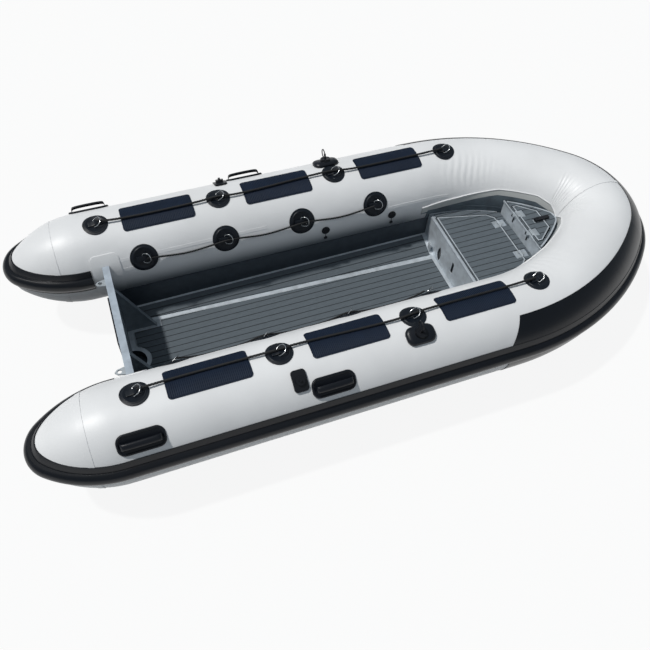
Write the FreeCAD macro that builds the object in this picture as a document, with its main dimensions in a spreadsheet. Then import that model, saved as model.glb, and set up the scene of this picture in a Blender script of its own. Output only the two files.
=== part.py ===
import FreeCAD, Part
import Sketcher
import math
import os
import re

# A 3.6 m rigid inflatable boat: an aluminium V hull inside a white inflated collar.
# Millimetres. +X points to the bow, +Y to port, +Z up.
# The origin is on the centreline, at the transom's aft face, on the light waterline.

os.makedirs("parts", exist_ok=True)
doc = FreeCAD.newDocument("inflatable_rib_boat")
sheet = doc.addObject("Spreadsheet::Sheet", "Sizes")

SIZES = (
    # collar
    ("tube_radius", 240, "inflated tube, half its diameter"),
    ("half_beam", 571, "centreline to the tube's axis"),
    ("axis_height", 340, "waterline to the tube's axis"),
    ("straight_end", 1900, "where the tube starts to turn in"),
    ("shoulder_radius", 1150, "gentle turn of the tube's axis"),
    ("shoulder_angle", 46, "degrees turned by the gentle turn"),
    ("cone_seam", 85, "seam of the stern cone, aft of the transom"),
    ("cone_side_radius", 530, "long flank of the stern cone"),
    ("cone_side_angle", 40, "degrees turned by that flank"),
    ("skin_gap", 0.3, "clearance between a curved skin and what lies on it"),
    # rub strake and bow guard
    ("band_thick", 5, "flat band of the strake"),
    ("band_top", 105, "top of the band above the tube's axis"),
    ("band_foot", -8, "foot of the band"),
    ("bead_depth", 24, "how far the round bead stands out"),
    ("bead_top", 74, "top of the bead"),
    ("bead_foot", 2, "foot of the bead"),
    ("strake_start", 64, "inner end of the strake, aft of the transom"),
    ("guard_thick", 3, "bow guard sheet"),
    ("guard_angle", 60, "top edge of the guard round the tube"),
    ("guard_foot_angle", -38, "lower edge of the guard"),
    ("guard_start", 1815, "aft end of the guard at the strake"),
    ("guard_slope", 64, "how far its top edge starts further forward"),
    # tube fittings
    ("ring_angle", 96, "top rings, round the tube from outboard"),
    ("ring_first", 20, "first top ring"),
    ("ring_second", 682, "second top ring"),
    ("ring_third", 1359, "third top ring"),
    ("ring_fourth", 2061, "fourth top ring"),
    ("patch_radius", 66, "patch of a top ring"),
    ("patch_thick", 4, "rubber patch"),
    ("patch_boss_radius", 42, "raised middle of a patch"),
    ("patch_boss_thick", 3, "height of that middle"),
    ("inner_angle", 153, "inner rings, round the tube from outboard"),
    ("inner_first", 218, "first inner ring"),
    ("inner_second", 666, "second inner ring"),
    ("inner_third", 1106, "third inner ring"),
    ("inner_fourth", 1555, "fourth inner ring"),
    ("inner_patch_radius", 74, "patch of an inner ring"),
    ("ring_wire", 3, "half the wire of a D-ring"),
    ("ring_reach", 23, "radius of a D-ring's bow"),
    ("pad_thick", 6, "wear pad on the tube's top"),
    ("pad_start_angle", 76, "outboard edge of a wear pad"),
    ("pad_sweep", 40, "degrees covered by a wear pad"),
    ("pad_length", 386, "wear pad along the tube"),
    ("pad_first", 153, "aft edge of the first pad"),
    ("pad_second", 824, "aft edge of the second pad"),
    ("pad_third", 1506, "aft edge of the third pad"),
    ("pad_corner", 22, "rounded corner of a pad"),
    ("handle_angle", 44, "carry handles, round the tube"),
    ("handle_first", 0, "aft carry handle"),
    ("handle_second", 881, "middle carry handle"),
    ("handle_length", 210, "handle's base plate"),
    ("handle_width", 84, "handle's base plate"),
    ("handle_thick", 6, "handle's base plate"),
    ("grip_length", 130, "handle's grip between its feet"),
    ("handle_corner", 38, "rounded end of that plate"),
    ("grip_rise", 31, "grip's axis above the tube"),
    ("grip_radius", 10, "grip, half its thickness"),
    ("clip_place", 730, "paddle clip"),
    ("clip_angle", 58, "paddle clip, round the tube"),
    ("clip_length", 70, "clip's plate along the tube"),
    ("clip_width", 104, "clip's plate round the tube"),
    ("clip_thick", 10, "clip's plate"),
    ("clip_corner", 17, "rounded corner of the clip's plate"),
    ("clip_boss_radius", 22, "round boss on the clip"),
    ("clip_boss_rise", 12, "height of that boss"),
    ("clip_peg_radius", 6, "peg in the clip"),
    ("clip_peg_rise", 10, "height of the peg above the boss"),
    ("rowlock_place", 1351, "rowlock"),
    ("rowlock_angle", 71, "rowlock, round the tube"),
    ("rowlock_length", 130, "rowlock's patch along the tube"),
    ("rowlock_width", 72, "rowlock's patch round the tube"),
    ("rowlock_corner", 24, "rounded corner of that patch"),
    ("rowlock_boss_foot", 34, "foot of the rowlock's boss, half its width"),
    ("rowlock_boss_radius", 28, "top of that boss"),
    ("rowlock_boss_rise", 34, "height of that boss"),
    ("rowlock_bore", 7, "half the bore for the pin"),
    ("rowlock_pin_radius", 6, "oar pin, half its thickness"),
    ("rowlock_pin_rise", 26, "pin above the boss"),
    ("rowlock_ring_radius", 24, "wire ring through the pin"),
    ("valve_first", 1243, "aft inflation valve"),
    ("valve_second", 1660, "forward inflation valve"),
    ("valve_angle", 175, "valves, round the tube"),
    ("valve_radius", 24, "valve's collar"),
    ("valve_rise", 6, "valve's collar stands out"),
    ("valve_cap_radius", 17, "valve's cap"),
    ("valve_cap_rise", 8, "height of the cap"),
    # hull
    ("hull_deck", 57, "top of the hull's own floor"),
    ("floor_crown", 1, "rise of the V bottom's top face over the chines"),
    ("chine_inset", 71, "chine inboard of the tube's axis"),
    ("chine_height", 50, "chine above the waterline"),
    ("keel_depth", 110, "keel below the waterline"),
    ("keel_straight", 1500, "level run of the keel"),
    ("keel_bar_width", 36, "keel strip"),
    ("keel_bar_thick", 5, "keel strip"),
    ("wall_inset", 226, "inner face of the hull side, inboard of the tube's axis"),
    ("wall_top", 250, "top of the hull side"),
    # transom
    ("transom_thick", 28, "transom plate"),
    ("transom_top", 450, "top of the transom"),
    ("transom_half", 380, "half the transom's width before it meets the tubes"),
    ("cap_thick", 4, "strip on the transom's top"),
    ("cap_overhang", 4, "strip past the transom's faces"),
    ("cap_half", 352, "half the strip's length"),
    ("motor_pad_thick", 12, "pad on the aft face"),
    ("motor_pad_half", 150, "half the pad's width"),
    ("motor_pad_foot", 150, "lower edge of the pad"),
    ("motor_pad_top", 440, "upper edge of the pad"),
    ("knee_place", 210, "transom knee, off the centreline"),
    ("knee_thick", 4, "knee plate"),
    ("knee_rise", 372, "knee's height on the transom"),
    ("knee_run", 165, "knee's foot along the deck"),
    ("knee_flange", 26, "flange along the knee's slope"),
    ("flange_drop", 12, "flange's thickness down the transom"),
    ("flange_back", 6, "flange's thickness along the deck"),
    ("tow_eye_place", 290, "tow eye, off the centreline"),
    ("tow_eye_height", 400, "tow eye's bore"),
    ("tow_eye_reach", 34, "bore aft of the transom"),
    ("tow_eye_half", 24, "half the plate's width"),
    ("tow_eye_shoulder", 14, "half its width beside the bore"),
    ("tow_eye_thick", 8, "plate of a tow eye"),
    ("tow_eye_bore", 11, "half the bore of a tow eye"),
    ("patch_aft", 58, "transom patch aft of the transom's face"),
    ("patch_ahead", 92, "transom patch ahead of that face"),
    ("patch_from", 138, "upper edge of the transom patch"),
    ("patch_to", 201, "lower edge of the transom patch"),
    ("patch_corner", 30, "rounded corner of the transom patch"),
    ("patch_spare", 4, "degrees the sheet of that patch runs on before it is trimmed"),
    ("bow_eye_wire", 6, "half the wire of the bow eye"),
    ("bow_eye_reach", 26, "radius of the bow eye"),
    ("bow_eye_height", 30, "bow eye above the waterline"),
    # deck
    ("deck_thick", 3, "deck plate"),
    ("deck_clear", 1, "deck plate short of the hull's sides"),
    ("mat_thick", 6, "foam mat"),
    ("mat_start", 62, "mats ahead of the origin"),
    ("bend_aft", 247, "bend of the floor off the centreline, at the transom"),
    ("bend_fore", 185, "that bend at the locker"),
    ("slope_aft", 36, "rise of the sloped floor to the wall, at the transom"),
    ("mat_bend_gap", 17, "mats stop short of the bend"),
    ("mat_wall_gap", 12, "mats stop short of the wall"),
    ("mat_margin", 26, "bare strip before the locker"),
    ("sump_radius", 68, "half-round well at the transom"),
    ("sump_depth", 45, "depth of the well"),
    ("sump_border", 26, "bare metal round the well"),
    # bow lockers
    ("locker_front", 1924, "aft face of the locker"),
    ("locker_height", 280, "top plate of the locker above the waterline"),
    ("panel_thick", 4, "locker sheet"),
    ("leaf_hole_off", 143, "leaf-shaped hole in the locker's face, to port"),
    ("leaf_hole_height", 125, "middle of that hole above the waterline"),
    ("leaf_hole_half", 20, "half that hole's width"),
    ("leaf_hole_rise", 55, "half that hole's height"),
    ("slot_hole_off", -18, "slot in the locker's face"),
    ("slot_hole_height", 165, "middle of that slot above the waterline"),
    ("slot_hole_width", 22, "width of that slot"),
    ("slot_hole_length", 84, "height of that slot"),
    ("lid_start", 1950, "aft edge of the lid"),
    ("lid_end", 2292, "forward edge of the lid"),
    ("lid_half_aft", 292, "half the lid's aft width"),
    ("lid_half_fore", 222, "half the lid's forward width"),
    ("lid_chamfer", 40, "cut corner of the lid"),
    ("lid_gap", 6, "slot round the lid"),
    ("lid_hinge_half", 130, "hinges off the centreline"),
    ("anchor_face", 2346, "aft face of the anchor locker"),
    ("anchor_height", 380, "top plate of the anchor locker"),
    ("hatch_start", 2364, "aft edge of the hatch"),
    ("hatch_square", 30, "square run of the hatch before it narrows"),
    ("hatch_end", 2488, "forward edge of the hatch"),
    ("hatch_half_aft", 150, "half the hatch's aft width"),
    ("hatch_half_fore", 72, "half the hatch's forward width"),
    ("hatch_hinge_half", 80, "hatch hinges off the centreline"),
    ("hinge_length", 50, "hinge along its pin"),
    ("hinge_leaf", 30, "one leaf of a hinge"),
    ("hinge_leaf_thick", 2, "leaf of a hinge"),
    ("hinge_knuckle", 5, "half the knuckle"),
    ("hinge_pin", 2, "half the pin"),
    ("hinge_slack", 0.4, "clearance in a hinge"),
    ("latch_length", 96, "latch bar"),
    ("latch_width", 24, "latch bar"),
    ("latch_thick", 12, "latch bar"),
    ("latch_back", 61, "latch bar behind the hatch's forward edge"),
    ("latch_lift", 1, "latch bar above the mat"),
    ("liner_thick", 4, "hull sheet beside the lockers"),
    ("liner_foot_angle", 201, "lower edge of the liner round the tube"),
    ("liner_top_angle", 183, "upper edge of the liner round the tube"),
    ("flange_top_angle", 166, "upper edge of the fabric flange"),
    ("flange_thick", 5, "fabric flange"),
    # ropes
    ("lifeline_radius", 6, "rope on the tubes, half its thickness"),
    ("grab_radius", 5, "rope inside the boat, half its thickness"),
    ("lifeline_through", 22, "middle of the tubes' rope above the skin, at a ring"),
    ("lifeline_resting", 13, "middle of that rope above the skin, over a pad"),
    ("lifeline_lift", 1, "lift of that rope just before a ring"),
    ("lifeline_swing", 4, "degrees it wanders to either side"),
    ("lifeline_lean", 3, "degrees it lies inboard between rings"),
    ("grab_through", 23.2, "middle of the inner rope above the skin, at a ring"),
    ("grab_resting", 6.2, "middle of that rope above the skin, between rings"),
    ("grab_sag", 6.5, "degrees it sags between rings"),
    ("rope_away", 110, "a rope lies flat this far from a ring"),
    ("rope_tail", 14, "end of a rope past its last ring"),
)

for row, (alias, number, meaning) in enumerate(SIZES, start=1):
    sheet.set("A%d" % row, meaning)
    sheet.set("B%d" % row, str(number))
    sheet.setAlias("B%d" % row, alias)
doc.recompute()

ALIASES = {alias for alias, number, meaning in SIZES}
WORD = re.compile(r"[a-z_]+[a-z]")
PORT = 1
STARBOARD = -1
SIDES = ((PORT, "port"), (STARBOARD, "starboard"))
FULL_TURN = 360
QUARTER = 90
OVERRUN = 40
UP = FreeCAD.Vector(0, 0, 1)
FORWARD = FreeCAD.Vector(1, 0, 0)
LEFT = FreeCAD.Vector(0, 1, 0)
ORIGIN = FreeCAD.Vector(0, 0, 0)
nodes = []


def size(alias):
    """One driving size as a number, for shapes made in code."""
    return float(sheet.get(alias))


def on_sheet(text):
    """An expression with each alias named as a cell of the sheet."""
    return WORD.sub(lambda word: "Sizes." + word.group(0) if word.group(0) in ALIASES else word.group(0), text)


def bind(thing, **texts):
    for name, text in texts.items():
        thing.setExpression(name, on_sheet(text))


def place(thing, x="0", y="0", z="0"):
    """Bind a placement's base to the sheet."""
    thing.setExpression("Placement.Base.x", on_sheet(x))
    thing.setExpression("Placement.Base.y", on_sheet(y))
    thing.setExpression("Placement.Base.z", on_sheet(z))


def node(thing, name):
    """Name a finished sub-part; its label names its file."""
    thing.Label = name
    nodes.append(thing)
    return thing


def shaped(name, shape):
    """A sub-part whose shape is made with Part's own functions."""
    feature = doc.addObject("Part::Feature", name)
    feature.Shape = shape
    return node(feature, name)


def helper(name, shape):
    """A construction shape that is not a sub-part."""
    feature = doc.addObject("Part::Feature", name)
    feature.Shape = shape
    return feature


def origin_plane(body, role):
    for feature in body.Origin.OriginFeatures:
        if feature.Role == role:
            return feature
    raise ValueError(role)


def outline_sketch(body, name, role, corners):
    """A closed outline of straight lines, each corner bound to the sheet."""
    sketch = body.newObject("Sketcher::SketchObject", name)
    sketch.AttachmentSupport = (origin_plane(body, role), [""])
    sketch.MapMode = "FlatFace"
    count = len(corners)
    rough = []
    for index in range(count):
        turn = FULL_TURN * index / count
        rough.append(FreeCAD.Vector(math.cos(math.radians(turn)), math.sin(math.radians(turn)), 0))
    for index in range(count):
        sketch.addGeometry(Part.LineSegment(rough[index], rough[(index + 1) % count]), False)
    for index in range(count):
        sketch.addConstraint(Sketcher.Constraint("Coincident", index, 2, (index + 1) % count, 1))
    for index, (across, along) in enumerate(corners):
        for kind, text, start in (("DistanceX", across, rough[index].x), ("DistanceY", along, rough[index].y)):
            number = sketch.addConstraint(Sketcher.Constraint(kind, -1, 1, index, 1, start))
            sketch.setExpression("Constraints[%d]" % number, on_sheet(text))
    return sketch


def circle_sketch(body, name, role, across, along, radius):
    """A circle whose centre and radius are bound to the sheet."""
    sketch = body.newObject("Sketcher::SketchObject", name)
    sketch.AttachmentSupport = (origin_plane(body, role), [""])
    sketch.MapMode = "FlatFace"
    sketch.addGeometry(Part.Circle(ORIGIN, UP, 1), False)
    for kind, text in (("DistanceX", across), ("DistanceY", along)):
        number = sketch.addConstraint(Sketcher.Constraint(kind, -1, 1, 0, 3, 1))
        sketch.setExpression("Constraints[%d]" % number, on_sheet(text))
    number = sketch.addConstraint(Sketcher.Constraint("Radius", 0, 1))
    sketch.setExpression("Constraints[%d]" % number, on_sheet(radius))
    return sketch


def pad(body, sketch, length, middle=False, backwards=False):
    feature = body.newObject("PartDesign::Pad", sketch.Name + "_pad")
    feature.Profile = sketch
    bind(feature, Length=length)
    feature.Midplane = middle
    feature.Reversed = backwards
    sketch.Visibility = False
    return feature


def pocket(body, sketch):
    """A cut right through, both ways from the sketch."""
    feature = body.newObject("PartDesign::Pocket", sketch.Name + "_pocket")
    feature.Profile = sketch
    feature.Type = "ThroughAll"
    feature.Midplane = True
    sketch.Visibility = False
    return feature


def plate(name, role, corners, length, middle=False, backwards=False):
    """A flat piece: one outline padded square to its plane."""
    body = doc.addObject("PartDesign::Body", name)
    pad(body, outline_sketch(body, name + "_outline", role, corners), length, middle, backwards)
    return body


def mirrored_corners(half):
    """Corners of a symmetric outline from its port half, aft to fore: (along, off)."""
    port = [(along, off) for along, off in half]
    starboard = [(along, "-(" + off + ")") for along, off in reversed(half)]
    return port + starboard


# Lines of the collar in plan


def nose_radius():
    drop = size("shoulder_radius") * (1 - math.cos(math.radians(size("shoulder_angle"))))
    return (size("half_beam") - drop) / math.cos(math.radians(size("shoulder_angle")))


def nose_centre():
    reach = (size("shoulder_radius") - nose_radius()) * math.sin(math.radians(size("shoulder_angle")))
    return FreeCAD.Vector(size("straight_end") + reach, 0, size("axis_height"))


def shoulder_centre(side):
    return FreeCAD.Vector(size("straight_end"), side * (size("half_beam") - size("shoulder_radius")),
                          size("axis_height"))


def cone_tip_radius():
    turned = math.radians(size("cone_side_angle"))
    return (size("tube_radius") - size("cone_side_radius") * (1 - math.cos(turned))) / math.cos(turned)


def cone_tip_centre():
    """Distance of the tip's centre aft of the seam."""
    return (size("cone_side_radius") - cone_tip_radius()) * math.sin(math.radians(size("cone_side_angle")))


def station(along):
    """Off-centre distance and heading of the tube's axis at a place along the boat."""
    ahead = along - size("straight_end")
    if ahead <= 0:
        return size("half_beam"), 0
    turned = math.asin(ahead / size("shoulder_radius"))
    return size("half_beam") - size("shoulder_radius") * (1 - math.cos(turned)), turned


def seat(along, side, angle, lift=0.0):
    """A frame on the tube's skin: X forward along the tube, Z straight out of the skin."""
    off, turned = station(along)
    out = FreeCAD.Vector(math.sin(turned), side * math.cos(turned), 0)
    tangent = FreeCAD.Vector(math.cos(turned), -side * math.sin(turned), 0)
    round_tube = math.radians(angle)
    normal = out * math.cos(round_tube) + UP * math.sin(round_tube)
    axis = FreeCAD.Vector(along, side * off, size("axis_height"))
    rotation = FreeCAD.Rotation(tangent, normal.cross(tangent), normal, "ZXY")
    return FreeCAD.Placement(axis + normal * (size("tube_radius") + lift), rotation)


def ring_face(out_from, out_to, from_angle, to_angle):
    """A slice of a sleeve round the tube, in the plane of X outboard and Z up, about the axis."""
    points = []
    for radius, angle in ((out_from, from_angle), (out_from, (from_angle + to_angle) / 2),
                          (out_from, to_angle), (out_to, to_angle),
                          (out_to, (from_angle + to_angle) / 2), (out_to, from_angle)):
        turned = math.radians(angle)
        points.append(FreeCAD.Vector(radius * math.cos(turned), 0, radius * math.sin(turned)))
    inner = Part.Arc(points[0], points[1], points[2]).toShape()
    top = Part.LineSegment(points[2], points[3]).toShape()
    outer = Part.Arc(points[3], points[4], points[5]).toShape()
    foot = Part.LineSegment(points[5], points[0]).toShape()
    return Part.Face(Part.Wire([inner, top, outer, foot]))


def stood_at(face, along, side, centre_off=0.0):
    """That face carried to the tube: its X points outboard, at a place along the boat."""
    moved = face.copy()
    moved.rotate(ORIGIN, UP, side * QUARTER)
    moved.translate(FreeCAD.Vector(along, side * (size("half_beam") + centre_off), size("axis_height")))
    return moved


def straight_sleeve(face, start, end, side):
    return stood_at(face, start, side).extrude(FORWARD * (end - start))


def shoulder_sleeve(face, side):
    start = stood_at(face, size("straight_end"), side)
    return start.revolve(shoulder_centre(side), UP, -side * size("shoulder_angle"))


def nose_sleeve(face, side):
    start = stood_at(face, size("straight_end"), side)
    start.rotate(shoulder_centre(side), UP, -side * size("shoulder_angle"))
    return start.revolve(nose_centre(), UP, -side * (QUARTER - size("shoulder_angle")))


def joined(shapes):
    """One solid from pieces that share faces."""
    return shapes[0].fuse(shapes[1:]).removeSplitter()


def collar_solid(grow):
    """Both tubes as one tool, grown by a clearance."""
    radius = size("tube_radius") + grow
    section = Part.Face(Part.Wire([Part.Circle(ORIGIN, LEFT, radius).toShape()]))
    pieces = []
    for side, word in SIDES:
        start = -size("cone_seam")
        pieces.append(straight_sleeve(section, start, size("straight_end"), side))
        pieces.append(shoulder_sleeve(section, side))
        pieces.append(nose_sleeve(section, side))
    return pieces


def plan_face(inset, start):
    """The boat's plan inside a line drawn a given inset from the tube's axis, at height zero."""
    off = size("half_beam") - inset
    turned = math.radians(size("shoulder_angle"))
    half = math.radians(size("shoulder_angle") / 2)
    shoulder = size("shoulder_radius") - inset
    nose = nose_radius() - inset
    end = size("straight_end")
    centre = nose_centre().x
    edges = []
    ends = []
    for side in (PORT, STARBOARD):
        base = side * (size("half_beam") - size("shoulder_radius"))
        first = FreeCAD.Vector(start, side * off, 0)
        second = FreeCAD.Vector(end, side * off, 0)
        middle = FreeCAD.Vector(end + shoulder * math.sin(half), base + side * shoulder * math.cos(half), 0)
        third = FreeCAD.Vector(end + shoulder * math.sin(turned), base + side * shoulder * math.cos(turned), 0)
        edges.append(Part.LineSegment(first, second).toShape())
        edges.append(Part.Arc(second, middle, third).toShape())
        ends.append((first, third))
    tip = FreeCAD.Vector(centre + nose, 0, 0)
    edges.append(Part.Arc(ends[0][1], tip, ends[1][1]).toShape())
    edges.append(Part.LineSegment(ends[0][0], ends[1][0]).toShape())
    return Part.Face(Part.Wire(Part.__sortEdges__(edges)))


def plan_prism(inset, start, low, high):
    face = plan_face(inset, start)
    face.translate(UP * low)
    return face.extrude(UP * (high - low))


def rounded_block(along, across, corner, height):
    """A block with rounded corners about the frame's Z axis."""
    block = Part.makeBox(along, across, height, FreeCAD.Vector(-along / 2, -across / 2, -height / 2))
    upright_share = 0.9
    upright = [edge for edge in block.Edges if abs(edge.tangentAt(edge.FirstParameter).z) > upright_share]
    return block.makeFillet(corner, upright)


def compound(shapes):
    return Part.makeCompound(shapes)


# Collar: side tubes, bow tubes and stern cones


def side_tube(side, word):
    tube = doc.addObject("Part::Cylinder", "tube_side_" + word)
    bind(tube, Radius="tube_radius", Height="straight_end + cone_seam")
    tube.Placement = FreeCAD.Placement(ORIGIN, FreeCAD.Rotation(LEFT, QUARTER))
    place(tube, "-cone_seam", "%d * half_beam" % side, "axis_height")
    return node(tube, "tube_side_" + word)


def bow_tube(side, word):
    shoulder = doc.addObject("Part::Torus", "shoulder_" + word)
    bind(shoulder, Radius1="shoulder_radius", Radius2="tube_radius", Angle3="shoulder_angle")
    shoulder.Placement = FreeCAD.Placement(ORIGIN, FreeCAD.Rotation(UP, 1))
    start = "90 deg - shoulder_angle * 1 deg" if side == PORT else "-90 deg"
    bind(shoulder, **{"Placement.Rotation.Angle": start})
    place(shoulder, "straight_end", "%d * (half_beam - shoulder_radius)" % side, "axis_height")
    nose = doc.addObject("Part::Torus", "nose_" + word)
    drop = "(half_beam - shoulder_radius * (1 - cos(shoulder_angle * 1 deg)))"
    radius = drop + " / cos(shoulder_angle * 1 deg)"
    bind(nose, Radius1=radius, Radius2="tube_radius", Angle3="90 - shoulder_angle")
    nose.Placement = FreeCAD.Placement(ORIGIN, FreeCAD.Rotation(UP, 1))
    start = "0 deg" if side == PORT else "shoulder_angle * 1 deg - 90 deg"
    bind(nose, **{"Placement.Rotation.Angle": start})
    place(nose, "straight_end + (shoulder_radius - " + radius + ") * sin(shoulder_angle * 1 deg)", "0",
          "axis_height")
    both = doc.addObject("Part::Fuse", "tube_bow_" + word)
    both.Base = shoulder
    both.Tool = nose
    return node(both, "tube_bow_" + word)


def cone_profile(grow):
    """Half the cone in the plane of X and Z, about its axis, with the seam at the origin."""
    radius = size("tube_radius") + grow
    flank = size("cone_side_radius") + grow
    tip = cone_tip_radius() + grow
    turned = math.radians(size("cone_side_angle"))
    base = size("tube_radius") - size("cone_side_radius")
    ahead = cone_tip_centre()

    def on_flank(share):
        angle = turned * share
        return FreeCAD.Vector(-flank * math.sin(angle), 0, base + flank * math.cos(angle))

    def on_tip(angle):
        return FreeCAD.Vector(-ahead - tip * math.sin(angle), 0, tip * math.cos(angle))

    half_share = 0.5
    middle_angle = (turned + math.radians(QUARTER)) / 2
    side_arc = Part.Arc(FreeCAD.Vector(0, 0, radius), on_flank(half_share), on_flank(1)).toShape()
    tip_arc = Part.Arc(on_flank(1), on_tip(middle_angle), on_tip(math.radians(QUARTER))).toShape()
    axis = Part.LineSegment(on_tip(math.radians(QUARTER)), ORIGIN).toShape()
    seam = Part.LineSegment(ORIGIN, FreeCAD.Vector(0, 0, radius)).toShape()
    return Part.Face(Part.Wire([side_arc, tip_arc, axis, seam]))


def cone_shape(side, grow=0.0):
    solid = cone_profile(grow).revolve(ORIGIN, FORWARD, FULL_TURN)
    solid.translate(FreeCAD.Vector(-size("cone_seam"), side * size("half_beam"), size("axis_height")))
    return solid


def stern_cone(side, word):
    return shaped("stern_cone_" + word, cone_shape(side))


# Rub strake: a flat band and a round bead, carried round the stern cone to the transom


def bead_face():
    """Section of the bead in the plane of X outboard and Z up, from the tube's axis."""
    skin = size("tube_radius")
    middle = (size("bead_top") + size("bead_foot")) / 2
    root = skin - size("bead_depth")
    top = FreeCAD.Vector(skin + size("skin_gap"), 0, size("bead_top"))
    crown = FreeCAD.Vector(skin + size("bead_depth"), 0, middle)
    foot = FreeCAD.Vector(skin + size("skin_gap"), 0, size("bead_foot"))
    deep_top = FreeCAD.Vector(root, 0, size("bead_top"))
    deep_foot = FreeCAD.Vector(root, 0, size("bead_foot"))
    edges = [Part.Arc(top, crown, foot).toShape(), Part.LineSegment(foot, deep_foot).toShape(),
             Part.LineSegment(deep_foot, deep_top).toShape(), Part.LineSegment(deep_top, top).toShape()]
    return Part.Face(Part.Wire(edges))


def cone_bead(face, side):
    """The bead swept round the cone in plan: outer flank, tip and inner flank."""
    seam = FreeCAD.Vector(-size("cone_seam"), side * size("half_beam"), size("axis_height"))
    flank = size("cone_side_angle")
    outer_centre = seam + LEFT * side * (size("tube_radius") - size("cone_side_radius"))
    inner_centre = seam - LEFT * side * (size("tube_radius") - size("cone_side_radius"))
    tip_centre = seam - FORWARD * cone_tip_centre()
    start = stood_at(face, -size("cone_seam"), side)
    outer = start.revolve(outer_centre, UP, side * flank)
    turned = start.copy()
    turned.rotate(outer_centre, UP, side * flank)
    tip = turned.revolve(tip_centre, UP, side * 2 * (QUARTER - flank))
    turned.rotate(tip_centre, UP, side * 2 * (QUARTER - flank))
    inner = turned.revolve(inner_centre, UP, side * flank)
    return [outer, tip, inner]


def inner_sleeve(face, side):
    """The same section on the tube's inner side, from the cone's seam to its end by the transom."""
    start = stood_at(face, -size("cone_seam"), side)
    axis = FreeCAD.Vector(-size("cone_seam"), side * size("half_beam"), size("axis_height"))
    start.rotate(axis, UP, 2 * QUARTER)
    return start.extrude(FORWARD * (size("cone_seam") - size("strake_start")))


def rub_strake(side, word):
    gap = size("skin_gap")
    skin = size("tube_radius") + gap
    crust = size("tube_radius") + size("band_thick")
    low = math.degrees(math.asin(size("band_foot") / skin))
    high = math.degrees(math.asin(size("band_top") / skin))
    band = ring_face(skin, crust, low, high)
    bead = bead_face()
    seam = -size("cone_seam")
    end = size("straight_end")
    pieces = []
    for face in (band, bead):
        pieces.append(straight_sleeve(face, seam, end, side))
        pieces.append(shoulder_sleeve(face, side))
        pieces.append(nose_sleeve(face, side))
        pieces.append(inner_sleeve(face, side))
    pieces.extend(cone_bead(bead, side))
    slab_low = size("axis_height") + skin * math.sin(math.radians(low))
    slab_high = size("axis_height") + skin * math.sin(math.radians(high))
    reach = size("cone_side_radius")
    corner = FreeCAD.Vector(seam - reach, side * size("half_beam") - reach, slab_low)
    slab = Part.makeBox(reach, 2 * reach, slab_high - slab_low, corner)
    pieces.append(cone_shape(side, size("band_thick")).common(slab))
    whole = pieces[0].fuse(pieces[1:])
    section = Part.Face(Part.Wire([Part.Circle(ORIGIN, LEFT, skin).toShape()]))
    inside = [straight_sleeve(section, seam, end, side), shoulder_sleeve(section, side),
              nose_sleeve(section, side), cone_shape(side, gap)]
    whole = whole.cut(inside)
    return shaped("rub_strake_" + word, whole.removeSplitter())


def bow_guard():
    """Black sheet over the bow, above and below the strake, with a slanted aft end."""
    inner = size("tube_radius") + size("skin_gap")
    outer = inner + size("guard_thick")
    top_from = math.degrees(math.asin(size("band_top") / inner)) + size("skin_gap")
    foot_to = math.degrees(math.asin(size("band_foot") / inner)) - size("skin_gap")
    slope = FreeCAD.Vector(size("guard_slope"), 0, 0)
    strips = []
    for low, high in ((top_from, size("guard_angle")), (size("guard_foot_angle"), foot_to)):
        face = ring_face(inner, outer, low, high)
        halves = []
        for side in (PORT, STARBOARD):
            start = size("guard_start")
            halves.append(straight_sleeve(face, start, size("straight_end"), side))
            halves.append(shoulder_sleeve(face, side))
            halves.append(nose_sleeve(face, side))
        strip = joined(halves)
        if low > 0:
            rise = outer * math.sin(math.radians(high)) - inner * math.sin(math.radians(low))
            base = size("axis_height") + inner * math.sin(math.radians(low))
            width = 2 * (size("half_beam") + outer)
            corner_low = FreeCAD.Vector(size("guard_start"), -width / 2, base)
            corner_high = corner_low + (slope + UP * rise) * 2
            far = corner_high - FORWARD * (2 * size("guard_slope") + OVERRUN)
            near = corner_low - FORWARD * OVERRUN
            wedge = Part.Face(Part.makePolygon([corner_low, corner_high, far, near, corner_low]))
            strip = strip.cut(wedge.extrude(LEFT * width))
        strips.append(strip)
    return shaped("bow_guard", compound([solid for strip in strips for solid in strip.Solids]))


# Fittings on the tubes


def on_skin(block, side, from_lift, to_lift, along):
    """A block trimmed to a sheet of even thickness that follows the tube's skin."""
    inner = size("tube_radius") + from_lift
    outer = size("tube_radius") + to_lift
    off, turned = station(along)
    span = size("pad_length")
    if turned:
        outside = Part.makeTorus(size("shoulder_radius"), outer, shoulder_centre(side), UP)
        inside = Part.makeTorus(size("shoulder_radius"), inner, shoulder_centre(side), UP)
    else:
        base = FreeCAD.Vector(along - span, side * size("half_beam"), size("axis_height"))
        outside = Part.makeCylinder(outer, 2 * span, base, FORWARD)
        inside = Part.makeCylinder(inner, 2 * span, base, FORWARD)
    return block.common(outside).cut(inside)


def ring_places(first):
    """Places of one row of four rings."""
    return [size(first + word) for word in ("first", "second", "third", "fourth")]


def patch_shape(along, side, angle, radius):
    """A round rubber patch with a raised middle."""
    frame = seat(along, side, angle)
    gap = size("skin_gap")
    height = 4 * OVERRUN
    disc = Part.makeCylinder(radius, height, FreeCAD.Vector(0, 0, -height / 2))
    boss = Part.makeCylinder(size("patch_boss_radius"), height, FreeCAD.Vector(0, 0, -height / 2))
    disc.Placement = frame
    boss.Placement = frame
    sheet_part = on_skin(disc, side, gap, size("patch_thick"), along)
    boss_part = on_skin(boss, side, gap, size("patch_thick") + size("patch_boss_thick"), along)
    return sheet_part.fuse(boss_part).removeSplitter()


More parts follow.
